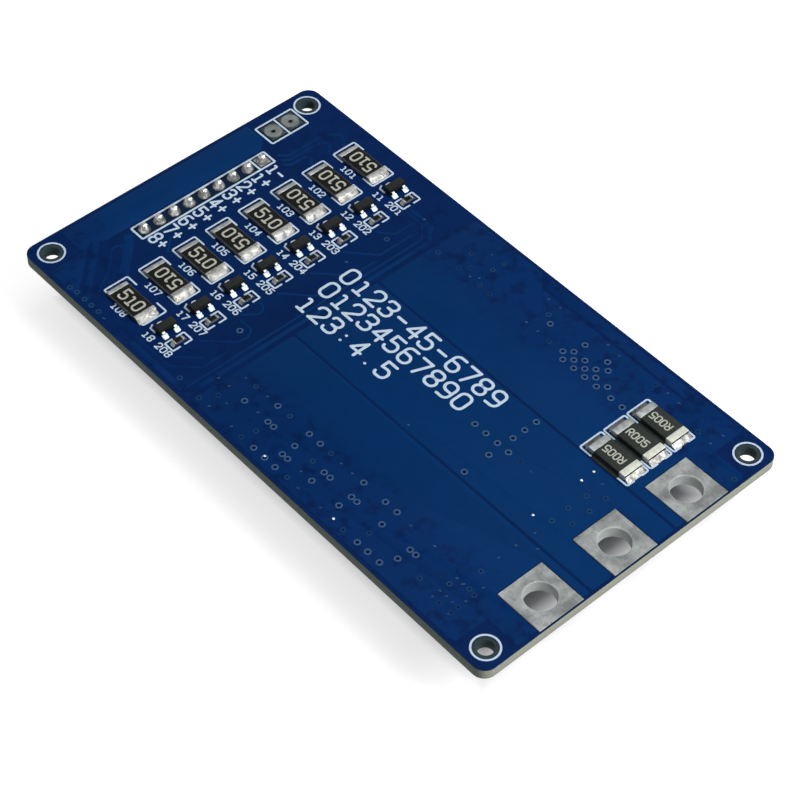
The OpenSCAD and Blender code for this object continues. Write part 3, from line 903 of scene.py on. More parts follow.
def rectangle(x, y, length, width, round_r=0.0, steps=5):
    """A rectangle about x, y with rounded corners."""
    if not round_r:
        return [(x + sx * length / 2, y + sy * width / 2)
                for sx, sy in ((-1, -1), (1, -1), (1, 1), (-1, 1))]
    loop = []
    for quarter, (sx, sy) in enumerate(((1, 1), (-1, 1), (-1, -1), (1, -1))):
        for i in range(steps + 1):
            a = math.pi / 2 * (quarter + i / steps)
            loop.append((x + sx * (length / 2 - round_r) + round_r * math.cos(a),
                         y + sy * (width / 2 - round_r) + round_r * math.sin(a)))
    return loop


def soften(loop, radius=0.35, steps=3):
    """Rounds the corners of a closed loop."""
    made = []
    for i, corner in enumerate(loop):
        after = loop[(i + 1) % len(loop)]
        made += [tuple(point)
                 for point in rounded_corner(loop[i - 1], corner, after, radius, steps)]
    return made


# ---------------------------------------------------------------- Geometry Nodes

def group(name, inputs):
    """A Geometry Nodes group with named inputs, and its group input node's sockets by name."""
    tree = bpy.data.node_groups.new(name, "GeometryNodeTree")
    tree.interface.new_socket("Geometry", in_out="INPUT", socket_type="NodeSocketGeometry")
    for socket_name, kind, default in inputs:
        socket = tree.interface.new_socket(socket_name, in_out="INPUT",
                                           socket_type="NodeSocket" + kind)
        if default is not None:
            socket.default_value = default
    tree.interface.new_socket("Geometry", in_out="OUTPUT", socket_type="NodeSocketGeometry")
    bench = Bench(tree)
    entry = bench.node("NodeGroupInput").socket.node
    return bench, {out.name: Wire(bench, out) for out in entry.outputs if out.name}


def finish_group(bench, geometry, material):
    """Ends a group in plain geometry with its material."""
    real = bench.node("GeometryNodeRealizeInstances", None, {0: geometry})
    real = bench.node("GeometryNodeSetMaterial", None, {"Geometry": real, "Material": material})
    bench.node("NodeGroupOutput", None, {0: real})
    return bench.tree


# How far each pressed stroke lies under the one before, and its round ends under it
STROKE_SINK, CAP_SINK, STROKE_LEVELS = 0.0008, 0.0004, 7


def attribute(bench, name):
    """A number that each point carries."""
    return bench.node("GeometryNodeInputNamedAttribute", {"data_type": "FLOAT"}, {"Name": name})


def line_group():
    """Lines with round ends and corners, pressed flat onto the board."""
    bench, given = group("Flat lines", [
        ("Flatness", "Float", 0.1), ("Height", "Float", 0.0), ("Top", "Float", 1.0),
        ("Bottom", "Float", -1.0), ("Material", "Material", None)])
    pen, bend, sink = (attribute(bench, name) for name in ("pen", "bend", "sink"))
    curve = bench.node("GeometryNodeMeshToCurve", None, {"Mesh": given["Geometry"]})
    curve = bench.node("GeometryNodeFilletCurve", {"mode": "POLY"}, {
        "Curve": curve, "Count": 4, "Radius": bend, "Limit Radius": True})
    nib = bench.node("GeometryNodeCurvePrimitiveCircle", None, {"Resolution": 8, "Radius": 1.0})
    swept = bench.node("GeometryNodeCurveToMesh", None, {
        "Curve": curve, "Profile Curve": nib, "Scale": pen, "Fill Caps": True})
    ends = bench.node("GeometryNodeCurveEndpointSelection", None,
                      {"Start Size": 1, "End Size": 1})
    dot = bench.node("GeometryNodeMeshUVSphere", None, {"Segments": 10, "Rings": 6,
                                                        "Radius": 1.0})
    dots = bench.node("GeometryNodeInstanceOnPoints", None, {
        "Points": curve, "Selection": ends, "Instance": dot, "Scale": pen})
    dots = bench.node("GeometryNodeRealizeInstances", None, {0: dots})
    dots = bench.node("GeometryNodeStoreNamedAttribute", {"data_type": "FLOAT"}, {
        "Geometry": dots, "Name": "sink", "Value": sink + CAP_SINK * MM})
    both = bench.node("GeometryNodeJoinGeometry", None, {0: [swept, dots]})
    real = bench.node("GeometryNodeRealizeInstances", None, {0: both})
    scale = bench.node("ShaderNodeCombineXYZ", None, {"X": 1.0, "Y": 1.0,
                                                      "Z": given["Flatness"]})
    lift = bench.node("ShaderNodeCombineXYZ", None, {"Z": given["Height"]})
    flat = bench.node("GeometryNodeTransform", None, {
        "Geometry": real, "Translation": lift, "Scale": scale})
    x, y, z = bench.split(bench.node("GeometryNodeInputPosition"))
    level = z.least(given["Top"] - sink).most(given["Bottom"] + sink)
    place = bench.node("ShaderNodeCombineXYZ", None, {"X": x, "Y": y, "Z": level})
    pressed = bench.node("GeometryNodeSetPosition", None, {"Geometry": flat, "Position": place})
    return finish_group(bench, pressed, given["Material"])


def scatter_group():
    """One shape at every point, turned about Z, with the unevenness of set metal."""
    bench, given = group("Repeated parts", [
        ("Shape", "Object", None), ("Lumps", "Float", 0.0), ("Lump Size", "Float", 0.5 * MM),
        ("Material", "Material", None)])
    turn, flip = attribute(bench, "turn"), attribute(bench, "flip")
    euler = bench.node("ShaderNodeCombineXYZ", None, {"X": flip, "Z": turn})
    rotation = bench.node("FunctionNodeEulerToRotation", None, {0: euler})
    shape = bench.node("GeometryNodeObjectInfo", {"transform_space": "ORIGINAL"},
                       {"Object": given["Shape"], "As Instance": False}, "Geometry")
    copies = bench.node("GeometryNodeInstanceOnPoints", None, {
        "Points": given["Geometry"], "Instance": shape, "Rotation": rotation})
    real = bench.node("GeometryNodeRealizeInstances", None, {0: copies})
    place = bench.node("GeometryNodeInputPosition")
    swell = bench.node("ShaderNodeTexNoise", None, {
        "Vector": place, "Scale": 1 / given["Lump Size"], "Detail": 2.0})
    normal = bench.node("GeometryNodeInputNormal")
    amount = (swell - 0.5) * given["Lumps"]
    push = bench.node("ShaderNodeVectorMath", {"operation": "SCALE"},
                      {0: normal, "Scale": amount})
    moved = bench.node("GeometryNodeSetPosition", None, {"Geometry": real, "Offset": push})
    return finish_group(bench, moved, given["Material"])


def run_group(holder, maker, values):
    """Runs a group on an object and leaves the result as a plain mesh."""
    name = maker.__name__
    tree = bpy.data.node_groups.get(name)
    if tree is None:
        tree = maker()
        tree.name = name
    modifier = holder.modifiers.new(name, "NODES")
    modifier.node_group = tree
    for item in tree.interface.items_tree:
        if item.in_out == "INPUT" and item.name in values:
            modifier[item.identifier] = values[item.name]
    return to_mesh(holder)


def carry(mesh, **columns):
    """Stores numbers on the points of a mesh, one column for each name."""
    for key, values in columns.items():
        mesh.attributes.new(key, "FLOAT", "POINT").data.foreach_set("value", values)


def lines(name, strokes, height, finish_name, flatness=None, smooth=60.0, top=100.0,
          bottom=-100.0):
    """Draws strokes of (points, closed, width, bend) flat at a height, all in millimetres."""
    points, edges, pens, bends, sinks = [], [], [], [], []
    for number, (path, closed, width, bend) in enumerate(strokes):
        first = len(points)
        points += [(x * MM, y * MM, 0) for x, y in path]
        edges += [(i, i + 1) for i in range(first, len(points) - 1)]
        if closed:
            edges.append((len(points) - 1, first))
        pens += [width / 2 * MM] * len(path)
        bends += [bend * MM] * len(path)
        sinks += [number % STROKE_LEVELS * STROKE_SINK * MM] * len(path)
    mesh = bpy.data.meshes.new(name)
    mesh.from_pydata(points, edges, [])
    carry(mesh, pen=pens, bend=bends, sink=sinks)
    flatness = relief().ink if flatness is None else flatness
    made = run_group(link(name, mesh), line_group, {
        "Flatness": flatness, "Height": height * MM, "Top": top * MM, "Bottom": bottom * MM,
        "Material": finish(finish_name)})
    return tidy(made, smooth)


def repeat(name, part, places, finish_name, lumps=0.0, lump_size=0.5, smooth=50.0):
    """Puts a shape at places of (x, y, z, turn, flipped), and leaves one mesh."""
    shape_mesh = bpy.data.meshes.new(name + ".shape")
    bmesh.ops.scale(part, vec=(MM, MM, MM), verts=part.verts)
    part.to_mesh(shape_mesh)
    part.free()
    shape = link(name + ".shape", shape_mesh)
    mesh = bpy.data.meshes.new(name)
    mesh.from_pydata([(x * MM, y * MM, z * MM) for x, y, z, turn, flipped in places], [], [])
    turns = [math.radians(place[3]) for place in places]
    flips = [math.pi if place[4] else 0.0 for place in places]
    carry(mesh, turn=turns, flip=flips)
    made = run_group(link(name, mesh), scatter_group, {
        "Shape": shape, "Lumps": lumps * MM, "Lump Size": lump_size * MM,
        "Material": finish(finish_name)})
    bpy.data.objects.remove(shape)
    return tidy(made, smooth)


# ---------------------------------------------------------------- printed numbers

GLYPH_HEIGHT = 1.5
# Each glyph is drawn in a cell 1 wide and 1.5 high: open paths, and closed ones marked True
GLYPHS = {
    "0": [([(0, 0), (1, 0), (1, 1.5), (0, 1.5)], True)],
    "1": [([(0.2, 1.2), (0.55, 1.5), (0.55, 0)], False), ([(0.2, 0), (0.9, 0)], False)],
    "2": [([(0, 1.1), (0, 1.5), (1, 1.5), (1, 0.85), (0, 0)], False), ([(0, 0), (1, 0)], False)],
    "3": [([(0, 1.25), (0, 1.5), (1, 1.5), (1, 0.78), (0.35, 0.78)], False),
          ([(0.6, 0.78), (1, 0.78), (1, 0), (0, 0), (0, 0.25)], False)],
    "4": [([(0.75, 0), (0.75, 1.5)], False), ([(0.75, 1.5), (0, 0.45)], False),
          ([(0, 0.45), (1, 0.45)], False)],
    "5": [([(0.95, 1.5), (0.05, 1.5)], False), ([(0.05, 1.5), (0.05, 0.85)], False),
          ([(0.05, 0.85), (1, 0.95), (1, 0), (0, 0), (0, 0.25)], False)],
    "6": [([(0.9, 1.5), (0, 1.5), (0, 0), (1, 0), (1, 0.85), (0.05, 0.85)], False)],
    "7": [([(0, 1.5), (1, 1.5)], False), ([(1, 1.5), (0.4, 0)], False)],
    "8": [([(0, 0.78), (0, 1.5), (1, 1.5), (1, 0.78)], True),
          ([(0, 0), (1, 0), (1, 0.78), (0, 0.78)], True)],
    "9": [([(0.1, 0), (1, 0), (1, 1.5), (0, 1.5), (0, 0.65), (0.95, 0.65)], False)],
    "R": [([(0, 0), (0, 1.5), (1, 1.5), (1, 0.7), (0, 0.7)], False),
          ([(0.4, 0.7), (1, 0)], False)],
    "+": [([(0.1, 0.75), (0.9, 0.75)], False), ([(0.5, 0.3), (0.5, 1.2)], False)],
    "-": [([(0.1, 0.75), (0.9, 0.75)], False)],
    ":": [([(0.45, 0.25), (0.46, 0.25)], False), ([(0.45, 0.85), (0.46, 0.85)], False)],
    ".": [([(0.45, 0.1), (0.46, 0.1)], False)],
}


def written(text, x, y, height, pen, advance=None, turn=0.0, wide=0.65, mirrored=False):
    """Strokes of a line of text whose middle is at x, y. Height and pen are in millimetres."""
    width = height * wide
    advance = advance or width * 1.42
    start = -(advance * (len(text) - 1) + width) / 2
    cos, sin = math.cos(math.radians(turn)), math.sin(math.radians(turn))
    strokes = []
    for i, letter in enumerate(text):
        for path, closed in GLYPHS[letter]:
            points = []
            for gx, gy in path:
                u = start + i * advance + gx * width
                v = gy / GLYPH_HEIGHT * height - height / 2
                if mirrored:
                    v = -v
                points.append((x + u * cos - v * sin, y + u * sin + v * cos))
            strokes.append((points, closed, pen, width * 0.42))
    return strokes


def brackets(x, y, length, width, arm, line, upright=False, bend=0.25):
    """A pair of square brackets about a part, opening towards each other."""
    strokes = []
    for side in SIDES:
        path = [(side * (length / 2 - arm), -width / 2), (side * length / 2, -width / 2),
                (side * length / 2, width / 2), (side * (length / 2 - arm), width / 2)]
        if upright:
            path = [(v, u) for u, v in path]
        strokes.append(([(x + u, y + v) for u, v in path], False, line, bend))
    return strokes


HOLE_RING = 1.79


def top_print():
    """Every printed line on the upper face."""
    line = relief().line / MM
    strokes = [(circle(x, y, HOLE_RING), True, line, 0.0) for x, y in FIXING_HOLES]
    strokes += header_print(line + 0.04)
    strokes += sensor_print(line + 0.02)
    for i in GROUPS:
        strokes += group_print(i, line)
    for i in SHUNTS:
        strokes += shunt_print(middle(f"shunt_resistor_{i}").y, line)
    height, advance, left = 2.72, 2.556, -13.77
    for text, y in (("0123-45-6789", 4.87), ("01234567890", 1.23), ("123:4.5", -2.55)):
        wide = advance * (len(text) - 1) + height * 0.65
        strokes += written(text, left + wide / 2, y, height, 0.42, advance)
    return strokes


def header_print(line):
    """Frame round the header's pins, a bar that sets the first apart, and a number for each."""
    half = PIN_PITCH / 2
    divider = (WAYS / 2 - 1) * PIN_PITCH
    strokes = [(rectangle(HEADER_X, 0, PIN_PITCH, WAYS * PIN_PITCH), True, line, 0.15),
               ([(HEADER_X - half, divider), (HEADER_X + half, divider)], False, line, 0.0)]
    for i, y in enumerate(PIN_ROWS):
        label = f"{i}+" if i else "1-"
        strokes += written(label, HEADER_X + 3.0, y + 0.15, 1.9, 0.34, 1.5, wide=0.54)
    return strokes


def sensor_print(line):
    """Frame round the two sensor pads, and a bar between them."""
    length, width = 3.84, 6.45
    x, y = SENSOR_PADS[0].x, (SENSOR_PADS[0].y + SENSOR_PADS[1].y) / 2
    return [(rectangle(x, y, length, width), True, line, 0.2),
            ([(x - length / 2, y), (x + length / 2, y)], False, line, 0.0)]


def group_print(i, line):
    """Brackets and numbers about the three parts of a balancing group."""
    y = middle(f"balance_transistor_{i}").y
    strokes = brackets(-28.0, y, 8.3, 3.8, 1.95, line)
    strokes += brackets(-18.65, y - 0.2, 3.1, 1.7, 1.15, line, upright=True, bend=0.15)
    strokes.append(([(-23.15, y - 0.95), (-22.85, y - 1.5), (-21.85, y - 1.5)], False,
                    line - 0.02, 0.05))
    for text, x in ((f"10{i}", -28.1), (f"{10 + i}", -21.9), (f"20{i}", -18.75)):
        strokes += written(text, x, y - 2.54, 0.98, 0.20, 0.96)
    return strokes


def shunt_print(y, line):
    """Brackets round the ends of a shunt, the one at the terminals open in its middle."""
    x, reach, half, arm, stub = 31.88, 4.13, 1.86, 1.9, 1.15
    left, right, low, high = x - reach, x + reach, y - half, y + half
    return [([(left + arm, low), (left, low), (left, high), (left + arm, high)], False, line, 0.25),
            ([(right - arm, low), (right, low), (right, low + stub)], False, line, 0.25),
            ([(right - arm, high), (right, high), (right, high - stub)], False, line, 0.25)]


def under_print():
    """Every printed line on the underside, mirrored so that it reads from below."""
    line = relief().line / MM
    strokes = [(circle(x, y, HOLE_RING), True, line + 0.06, 0.0) for x, y in FIXING_HOLES]
    shroud, room = middle("header_shroud"), span("header_shroud")
    strokes.append((rectangle(shroud.x, shroud.y, room.x + 0.8, room.y + 0.8), True, line, 0.2))
    for i in POWER_TRANSISTORS:
        at, size = middle(f"power_transistor_{i}"), span(f"power_transistor_{i}")
        strokes += brackets(at.x, at.y, size.y + 0.7, size.x + 0.9, 2.2, line, upright=True)
        strokes += written(f"30{i}", at.x, at.y + outward(at) * (size.y / 2 + 1.35), 1.1, 0.2,
                           mirrored=True)
    for i in PAIR:
        at, size = middle(f"protection_circuit_{i}"), span(f"protection_circuit_{i}")
        end = size.y / 2 + 0.3
        for side in SIDES:
            edge = at.x + side * (size.x / 2 + 0.4)
            strokes.append(([(edge, at.y - end), (edge, at.y + end)], False, line, 0.0))
        strokes.append((circle(at.x - size.x / 2 - 0.9, at.y - end, 0.25, 16), True, 0.2, 0.0))
        strokes += written(f"40{i}", at.x + size.x / 2 + 2.2, at.y, 1.1, 0.2, mirrored=True)
    for y in CELL_ROWS:
        for node in ("filter_resistors", "filter_capacitors"):
            strokes += brackets(middle(node).x, y, 3.0, 1.7, 1.1, line - 0.04, bend=0.15)
    return strokes


# ---------------------------------------------------------------- copper and vias

# Copper areas under the mask of the upper face; each leaves its terminal and its fixing hole clear
TOP_COPPER = [
    [(-9.8, 7.1), (30.9, 7.1), (30.9, 22.35), (5.2, 22.35), (3.2, 24.4), (-9.8, 24.4)],
    [(5.5, 22.75), (30.9, 22.75), (30.9, 24.4), (3.9, 24.4)],
    [(31.3, 7.1), (44.5, 7.1), (44.5, 8.55), (37.4, 8.55), (37.4, 16.05), (44.5, 16.05),
     (44.5, 19.2), (39.3, 19.2), (39.3, 24.4), (31.3, 24.4)],
    [(-9.8, -7.15), (44.5, -7.15), (44.5, -3.75), (37.4, -3.75), (37.4, 3.75), (44.5, 3.75),
     (44.5, 6.75), (-9.8, 6.75)],
    [(-9.8, -24.4), (39.3, -24.4), (39.3, -19.2), (44.5, -19.2), (44.5, -16.05),
     (37.4, -16.05), (37.4, -8.55), (44.5, -8.55), (44.5, -7.5), (-9.8, -7.5)],
    [(-44.4, -19.0), (-39.5, -19.0), (-39.5, -24.4), (-33.4, -24.4), (-37.2, -20.5),
     (-40.5, -17.2), (-39.3, -15.4), (-39.3, 11.4), (-40.9, 13.0), (-44.4, 13.0)],
    [(-22.6, -24.4), (-12.0, -24.4), (-12.0, -23.5), (-22.6, -23.5)],
]
# Tracks of the upper face: their points and their width
TOP_TRACKS = [
    ([(-10.9, -24.0), (-10.9, 17.0), (-13.0, 19.2), (-16.9, 19.2)], 0.7),
    ([(-11.9, -23.2), (-11.9, 16.4), (-14.0, 18.5), (-16.9, 18.5)], 0.36),
    ([(-32.5, 20.3), (-33.4, 21.6), (-34.6, 21.6), (-36.0, 20.0), (-36.0, 13.6), (-36.9, 12.6)],
     0.5),
    ([(-32.5, 17.8), (-34.2, 19.4), (-35.2, 18.6), (-35.2, 13.2), (-35.9, 12.4)], 0.5),
    ([(-32.5, 14.6), (-33.6, 15.8), (-34.4, 15.0), (-34.4, 12.7), (-35.0, 12.0)], 0.5),
    ([(-37.8, -12.7), (-36.6, -13.5), (-32.4, -17.7)], 1.5),
    ([(-36.4, -13.9), (-37.6, -14.7), (-37.4, -15.8), (-34.4, -18.6), (-32.5, -21.8)], 0.42),
    ([(-40.0, -16.4), (-36.7, -19.6), (-32.4, -23.6)], 1.0),
    ([(-34.2, -8.4), (-32.3, -10.4)], 0.36),
    ([(-17.0, -7.0), (-15.9, -7.4), (-15.6, -8.4), (-17.0, -10.2)], 0.32),
    ([(-16.3, -10.9), (-14.2, -10.9), (-13.4, -12.0), (-13.6, -13.6), (-17.0, -17.1)], 0.32),
    ([(-14.4, -18.6), (-17.0, -21.4)], 0.32),
    ([(-13.2, -15.6), (-13.2, -19.8), (-16.2, -22.8), (-22.4, -22.8)], 0.32),
    ([(-16.9, 12.9), (-15.0, 14.6), (-15.0, 17.6)], 0.36),
    ([(-16.9, 7.2), (-13.4, 10.4), (-13.4, 16.0)], 0.36),
    ([(-16.9, 1.4), (-12.9, 5.2), (-12.9, 9.0)], 0.36),
    ([(-16.9, -4.2), (-13.3, -0.9), (-13.3, 3.4)], 0.36),
]
UNDER_COPPER = [
    [(-5.6, 1.3), (29.6, 1.3), (29.6, 3.1), (-5.6, 3.1)],
    [(-5.6, -3.1), (29.6, -3.1), (29.6, -1.3), (-5.6, -1.3)],
    [(-6.2, 8.2), (29.9, 8.2), (29.9, 24.4), (-6.2, 24.4)],
    [(-6.2, -24.4), (29.9, -24.4), (29.9, -8.2), (-6.2, -8.2)],
    [(31.0, 5.2), (44.5, 5.2), (44.5, 8.55), (37.4, 8.55), (37.4, 16.05), (44.5, 16.05),
     (44.5, 19.2), (39.3, 19.2), (39.3, 24.4), (31.0, 24.4)],
    [(31.0, -4.8), (44.5, -4.8), (44.5, -3.75), (37.4, -3.75), (37.4, 3.75), (44.5, 3.75),
     (44.5, 4.8), (31.0, 4.8)],
    [(31.0, -24.4), (39.3, -24.4), (39.3, -19.2), (44.5, -19.2), (44.5, -16.05),
     (37.4, -16.05), (37.4, -8.55), (44.5, -8.55), (44.5, -5.2), (31.0, -5.2)],
]
LEG_PITCH = 0.65
# Where the cells' tracks reach the legs of the protection circuits, along Y
CELL_ENDS = [5.6 + LEG_PITCH * i for i in range(4)]
CELL_ENDS += [-y for y in reversed(CELL_ENDS)]
UNDER_TRACKS = (
    [([(start, y), (end, y)], 0.36) for start, end in ((-34.0, -32.9), (-31.2, -30.2))
     for y in CELL_ROWS]
    + [([(-28.4, y), (-27.6 + 0.3 * min(i, 7 - i), y), (-25.4, CELL_ENDS[i]),
         (-24.4, CELL_ENDS[i])], 0.26) for i, y in enumerate(CELL_ROWS)]
    + [([(-17.6, side * (6.2 + LEG_PITCH * i)), (-15.4 + 0.4 * i, side * (6.2 + LEG_PITCH * i)),
         (-11.2 + 0.4 * i, side * (9.6 + i)), (-6.4, side * (9.6 + i))], 0.26)
       for side in SIDES for i in range(5)]
)

# Vias whose ring shows: their places on the upper face
RINGED_VIAS = (
    [(x, -16.3) for x in (-1.7, 4.4, 6.5, 14.7, 18.7, 20.8)]
    + [(x, -18.9) for x in (-5.1, -0.5, 0.6, 4.7, 10.3, 11.4, 15.4, 16.4, 21.0, 26.1, 27.1)]
    + [(x, -20.9) for x in (4.7, 5.7, 10.3, 15.4, 26.1)]
    + [(x, -22.9) for x in (1.6, 3.7, 5.7, 21.1, 23.0, 25.1)]
    + [(-14.8, -11.8), (10.6, 19.2), (16.2, 20.0), (20.2, 20.1), (21.3, 19.1)]
    + [(x, 18.1) for x in (16.1, 18.1, 20.1)]
    + [(x, 17.1) for x in (15.1, 17.1, 19.1, 21.1, 23.2)]
    + [(x, 16.1) for x in (16.1, 18.1, 20.1, 22.2, 24.8, 26.8)]
    + [(21.5, y) for y in (6.3, 4.3, 2.3, -1.8, -5.9)]
    + [(x, 0.3) for x in (16.7, 18.7, 20.8, 22.8)]
)
# Vias that the mask covers, so that only a shallow crater shows
COVERED_VIAS = (
    [(x, 22.1) for x in (-3.4, -1.2, 7.4, 9.4, 18.1, 20.3, 27.0, 29.0, 31.0)]
    + [(-1.4, 20.2), (9.3, 20.2), (9.3, 18.0), (-1.5, 17.9), (-3.6, 18.1), (-5.3, 20.1)]
    + [(x, 17.0) for x in (-8.6, -6.5, -4.5, -2.5, -0.4, 1.7, 3.7, 5.8, 8.3, 10.5, 12.8)]
    + [(x, -16.3) for x in (-8.0, -6.0, -3.8, 0.5, 8.6, 10.7, 12.7, 16.8, 23.4, 25.6, 27.6)]
    + [(x, -18.9) for x in (-10.2, -8.2, -6.3, -2.6, 8.1, 30.0)]
    + [(x, -20.9) for x in (-8.1, -6.2, -0.2, 2.0, 8.2, 12.0, 20.9, 30.1)]
    + [(x, -22.9) for x in (-9.3, -7.3, -2.9, -0.7, 8.0, 10.1, 12.2, 14.2, 18.6, 30.1)]
    + [(33.8 + 2.1 * (i % 2), 22.4 - 2.15 * i) for i in range(2)]
    + [(34.0 + 2.0 * (i % 2), 5.6 - 1.45 * i) for i in range(20)]
    + [(33.0 + 1.05 * (i % 4), -17.6 - 1.3 * (i // 4)) for i in range(16)]
    + [(38.4, 22.3), (38.3, 20.1), (44.2, 18.1), (-13.4, -22.6), (-14.9, -20.9), (11.4, -3.8),
       (11.4, -6.0), (24.9, 0.3), (27.0, 0.3), (-14.2, 19.8), (-14.8, 13.4), (-15.2, 6.5)]
    + [(-35.4 + 1.5 * i, -23.6) for i in range(6)]
)
# Vias filled with solder, which shines through the mask's opening
FILLED_VIAS = [(31.9, 6.1), (31.9, 4.0), (31.9, -4.2), (16.5, -22.7), (3.5, -22.7)]
# All the vias lie a little towards the left and front of the grid that they are listed on
VIA_SHIFT = (-0.20, -0.33)
# Below the first of these draws a covered via glints, and below the second it shows a dot
GLINT_DRAW, DOT_DRAW = 0.42, 0.86
# Depth of the laminate's faces under the board's, and how far the mask stops short of its edge
MASK_T, MASK_MARGIN = 0.035, 0.06


def board_outline(inset=0.0):
    """The board's outline, with its rounded corners."""
    return rectangle(0, 0, BOARD.x - 2 * inset, BOARD.y - 2 * inset, 1.8 - inset, 8)


def openings(top):
    """Openings in the mask of one face."""
    loops = [circle(x, y, 1.55) for x, y in FIXING_HOLES]
    for places, (length, width, _), gap, corner in (
            (TERMINALS, TERMINAL_PAD, 0.10, 0.15), (SENSOR_PADS, SENSOR_PAD, 0.08, 0.12)):
        loops += [rectangle(at.x, at.y, length + gap, width + gap, corner) for at in places]
    for y in PIN_ROWS:
        square = top and y == PIN_ROWS[0]
        loops.append(rectangle(HEADER_X, y, 1.86, 1.86, 0.1) if square
                     else circle(HEADER_X, y, 0.95, 32))
    return loops


def layer(name, loops, low, high, finish_name, edge=0.0, node=()):
    """One flat layer of the board in its finish."""
    made = plate(name, loops, low, high, edge)
    made.data.materials.append(finish(finish_name))
    declare(made, "solder_mask", *node)


def dress_board():
    """The laminate, and on each face its mask and the copper areas that stand up under it."""
    low, high = MASK_T, BOARD_T - MASK_T
    holes = [circle(x, y, FIXING_R) for x, y in FIXING_HOLES]
    holes += [circle(t.x, t.y, TERMINAL_R, 64) for t in TERMINALS]
    holes += [circle(s.x, s.y, SMALL_R, 32) for s in SENSOR_PADS]
    holes += [circle(HEADER_X, y, SMALL_R, 32) for y in PIN_ROWS]
    layer("board_laminate", [board_outline()] + holes, low, high, "laminate", 0.02, ["board"])
    base = relief().copper / MM
    for name, top, areas in (("upper", True, TOP_COPPER), ("under", False, UNDER_COPPER)):
        face = (high - 0.01, BOARD_T - base) if top else (base, low + 0.01)
        layer(f"mask_{name}", [board_outline(MASK_MARGIN)] + openings(top), *face, "solder_mask")
        raised = (BOARD_T - base - 0.01, BOARD_T) if top else (0.0, base + 0.01)
        layer(f"copper_areas_{name}", [soften(loop) for loop in areas], *raised, "solder_mask",
              base * 0.5)


def dress_tracks():
    """The tracks of both faces, under the mask."""
    base = relief().copper / MM
    for name, tracks, height in (("upper", TOP_TRACKS, BOARD_T - base),
                                 ("under", UNDER_TRACKS, base)):
        strokes = [(path, False, width, max(0.6, width * 0.6)) for path, width in tracks]
        made = lines(f"tracks_{name}", strokes, height, "solder_mask", 0.4, 30.0,
                     BOARD_T - STROKE_SINK, STROKE_SINK)
        declare(made, "solder_mask")


def shifted(vias, z, flipped):
    """Vias at the places where they lie on the board."""
    return [(x + VIA_SHIFT[0], y + VIA_SHIFT[1], z, 0, flipped) for x, y in vias]


def covered_vias(rng, z, flipped):
    """The covered vias that glint and those that show a dot, each a little off its place."""
    glints, dots = [], []
    for x, y in COVERED_VIAS:
        spot = (x + VIA_SHIFT[0] + rng.uniform(-0.12, 0.12),
                y + VIA_SHIFT[1] + rng.uniform(-0.12, 0.12), z,
                48 + rng.uniform(-30, 30), flipped)
        draw = rng.random()
        if draw < GLINT_DRAW:
            glints.append(spot)
        elif draw < DOT_DRAW:
            dots.append(spot)
    return glints, dots


def glint_form():
    """The long low hump of mask that catches the light over a covered via."""
    form = lathe([(0, 0.030), (0.5, 0.022), (1.0, -0.01), (0, -0.01)], 10)
    bmesh.ops.scale(form, vec=(0.26, 0.13, 1), verts=form.verts)
    return form


def dress_vias():
    """What shows of the vias on both faces."""
    r, bore = relief().via_ring / MM, relief().via_bore / MM
    rng = random.Random(relief().seed)
    ring = [(bore, -0.01), (bore + 0.03, 0.018), (r - 0.12, 0.026), (r - 0.03, 0.018),
            (r, -0.01), (bore, -0.01)]
    # The pits and dots are flat discs whose dark finish is painted shade.
    pit = [(0, 0.004), (bore * 0.7, 0.006), (bore + 0.02, 0.012), (bore + 0.02, -0.012),
           (0, -0.012)]
    dot = [(0, 0.004), (0.13, 0.005), (0.17, -0.01), (0, -0.01)]
    crater = [(0.15, -0.01), (0.19, 0.012), (0.34, 0.015), (0.44, -0.01), (0.15, -0.01)]
    bead = [(0, 0.07), (0.09, 0.06), (0.17, 0.02), (0.19, -0.01), (0, -0.01)]
    for name, z, flipped in (("upper", BOARD_T, False), ("under", 0.0, True)):
        kinds = [shifted(RINGED_VIAS, z, flipped), shifted(FILLED_VIAS, z, flipped),
                 *covered_vias(rng, z, flipped)]
        if flipped:
            kinds = [clear_of_parts(spots) for spots in kinds]
        seen, filled, glints, dots = kinds
        for piece, shape, spots, look, slot in (
                ("via_rings", lathe(ring, 20), seen, "mask_on_vias", "solder_mask"),
                ("via_pits", lathe(pit, 12), seen, "via_pit", "solder_mask"),
                ("via_glints", glint_form(), glints, "mask_dimple", "solder_mask"),
                ("via_dots", lathe(dot, 10), dots, "via_pit", "solder_mask"),
                ("via_craters", lathe(crater, 16), dots, "mask_crater", "solder_mask"),
                ("via_beads", lathe(bead, 16), filled, "solder_wetted", "solder")):
            declare(repeat(f"{piece}_{name}", shape, spots, look), slot)


def clear_of_parts(spots, margin=0.4):
    """Drops the vias that a part on the underside would cover."""
    names = [f"power_transistor_{i}" for i in POWER_TRANSISTORS]
    names += ["header_shroud"] + [f"protection_circuit_{i}" for i in PAIR]
    parts = [(middle(name), span(name) / 2) for name in names]
    return [spot for spot in spots
            if not any(abs(spot[0] - at.x) < half.x + margin
                       and abs(spot[1] - at.y) < half.y + margin for at, half in parts)]


# ---------------------------------------------------------------- tinned pads

# Height of the tin above the board, and its thickness down the hole
TIN, LINING = 0.1, 0.2
PAD_STEPS = 96


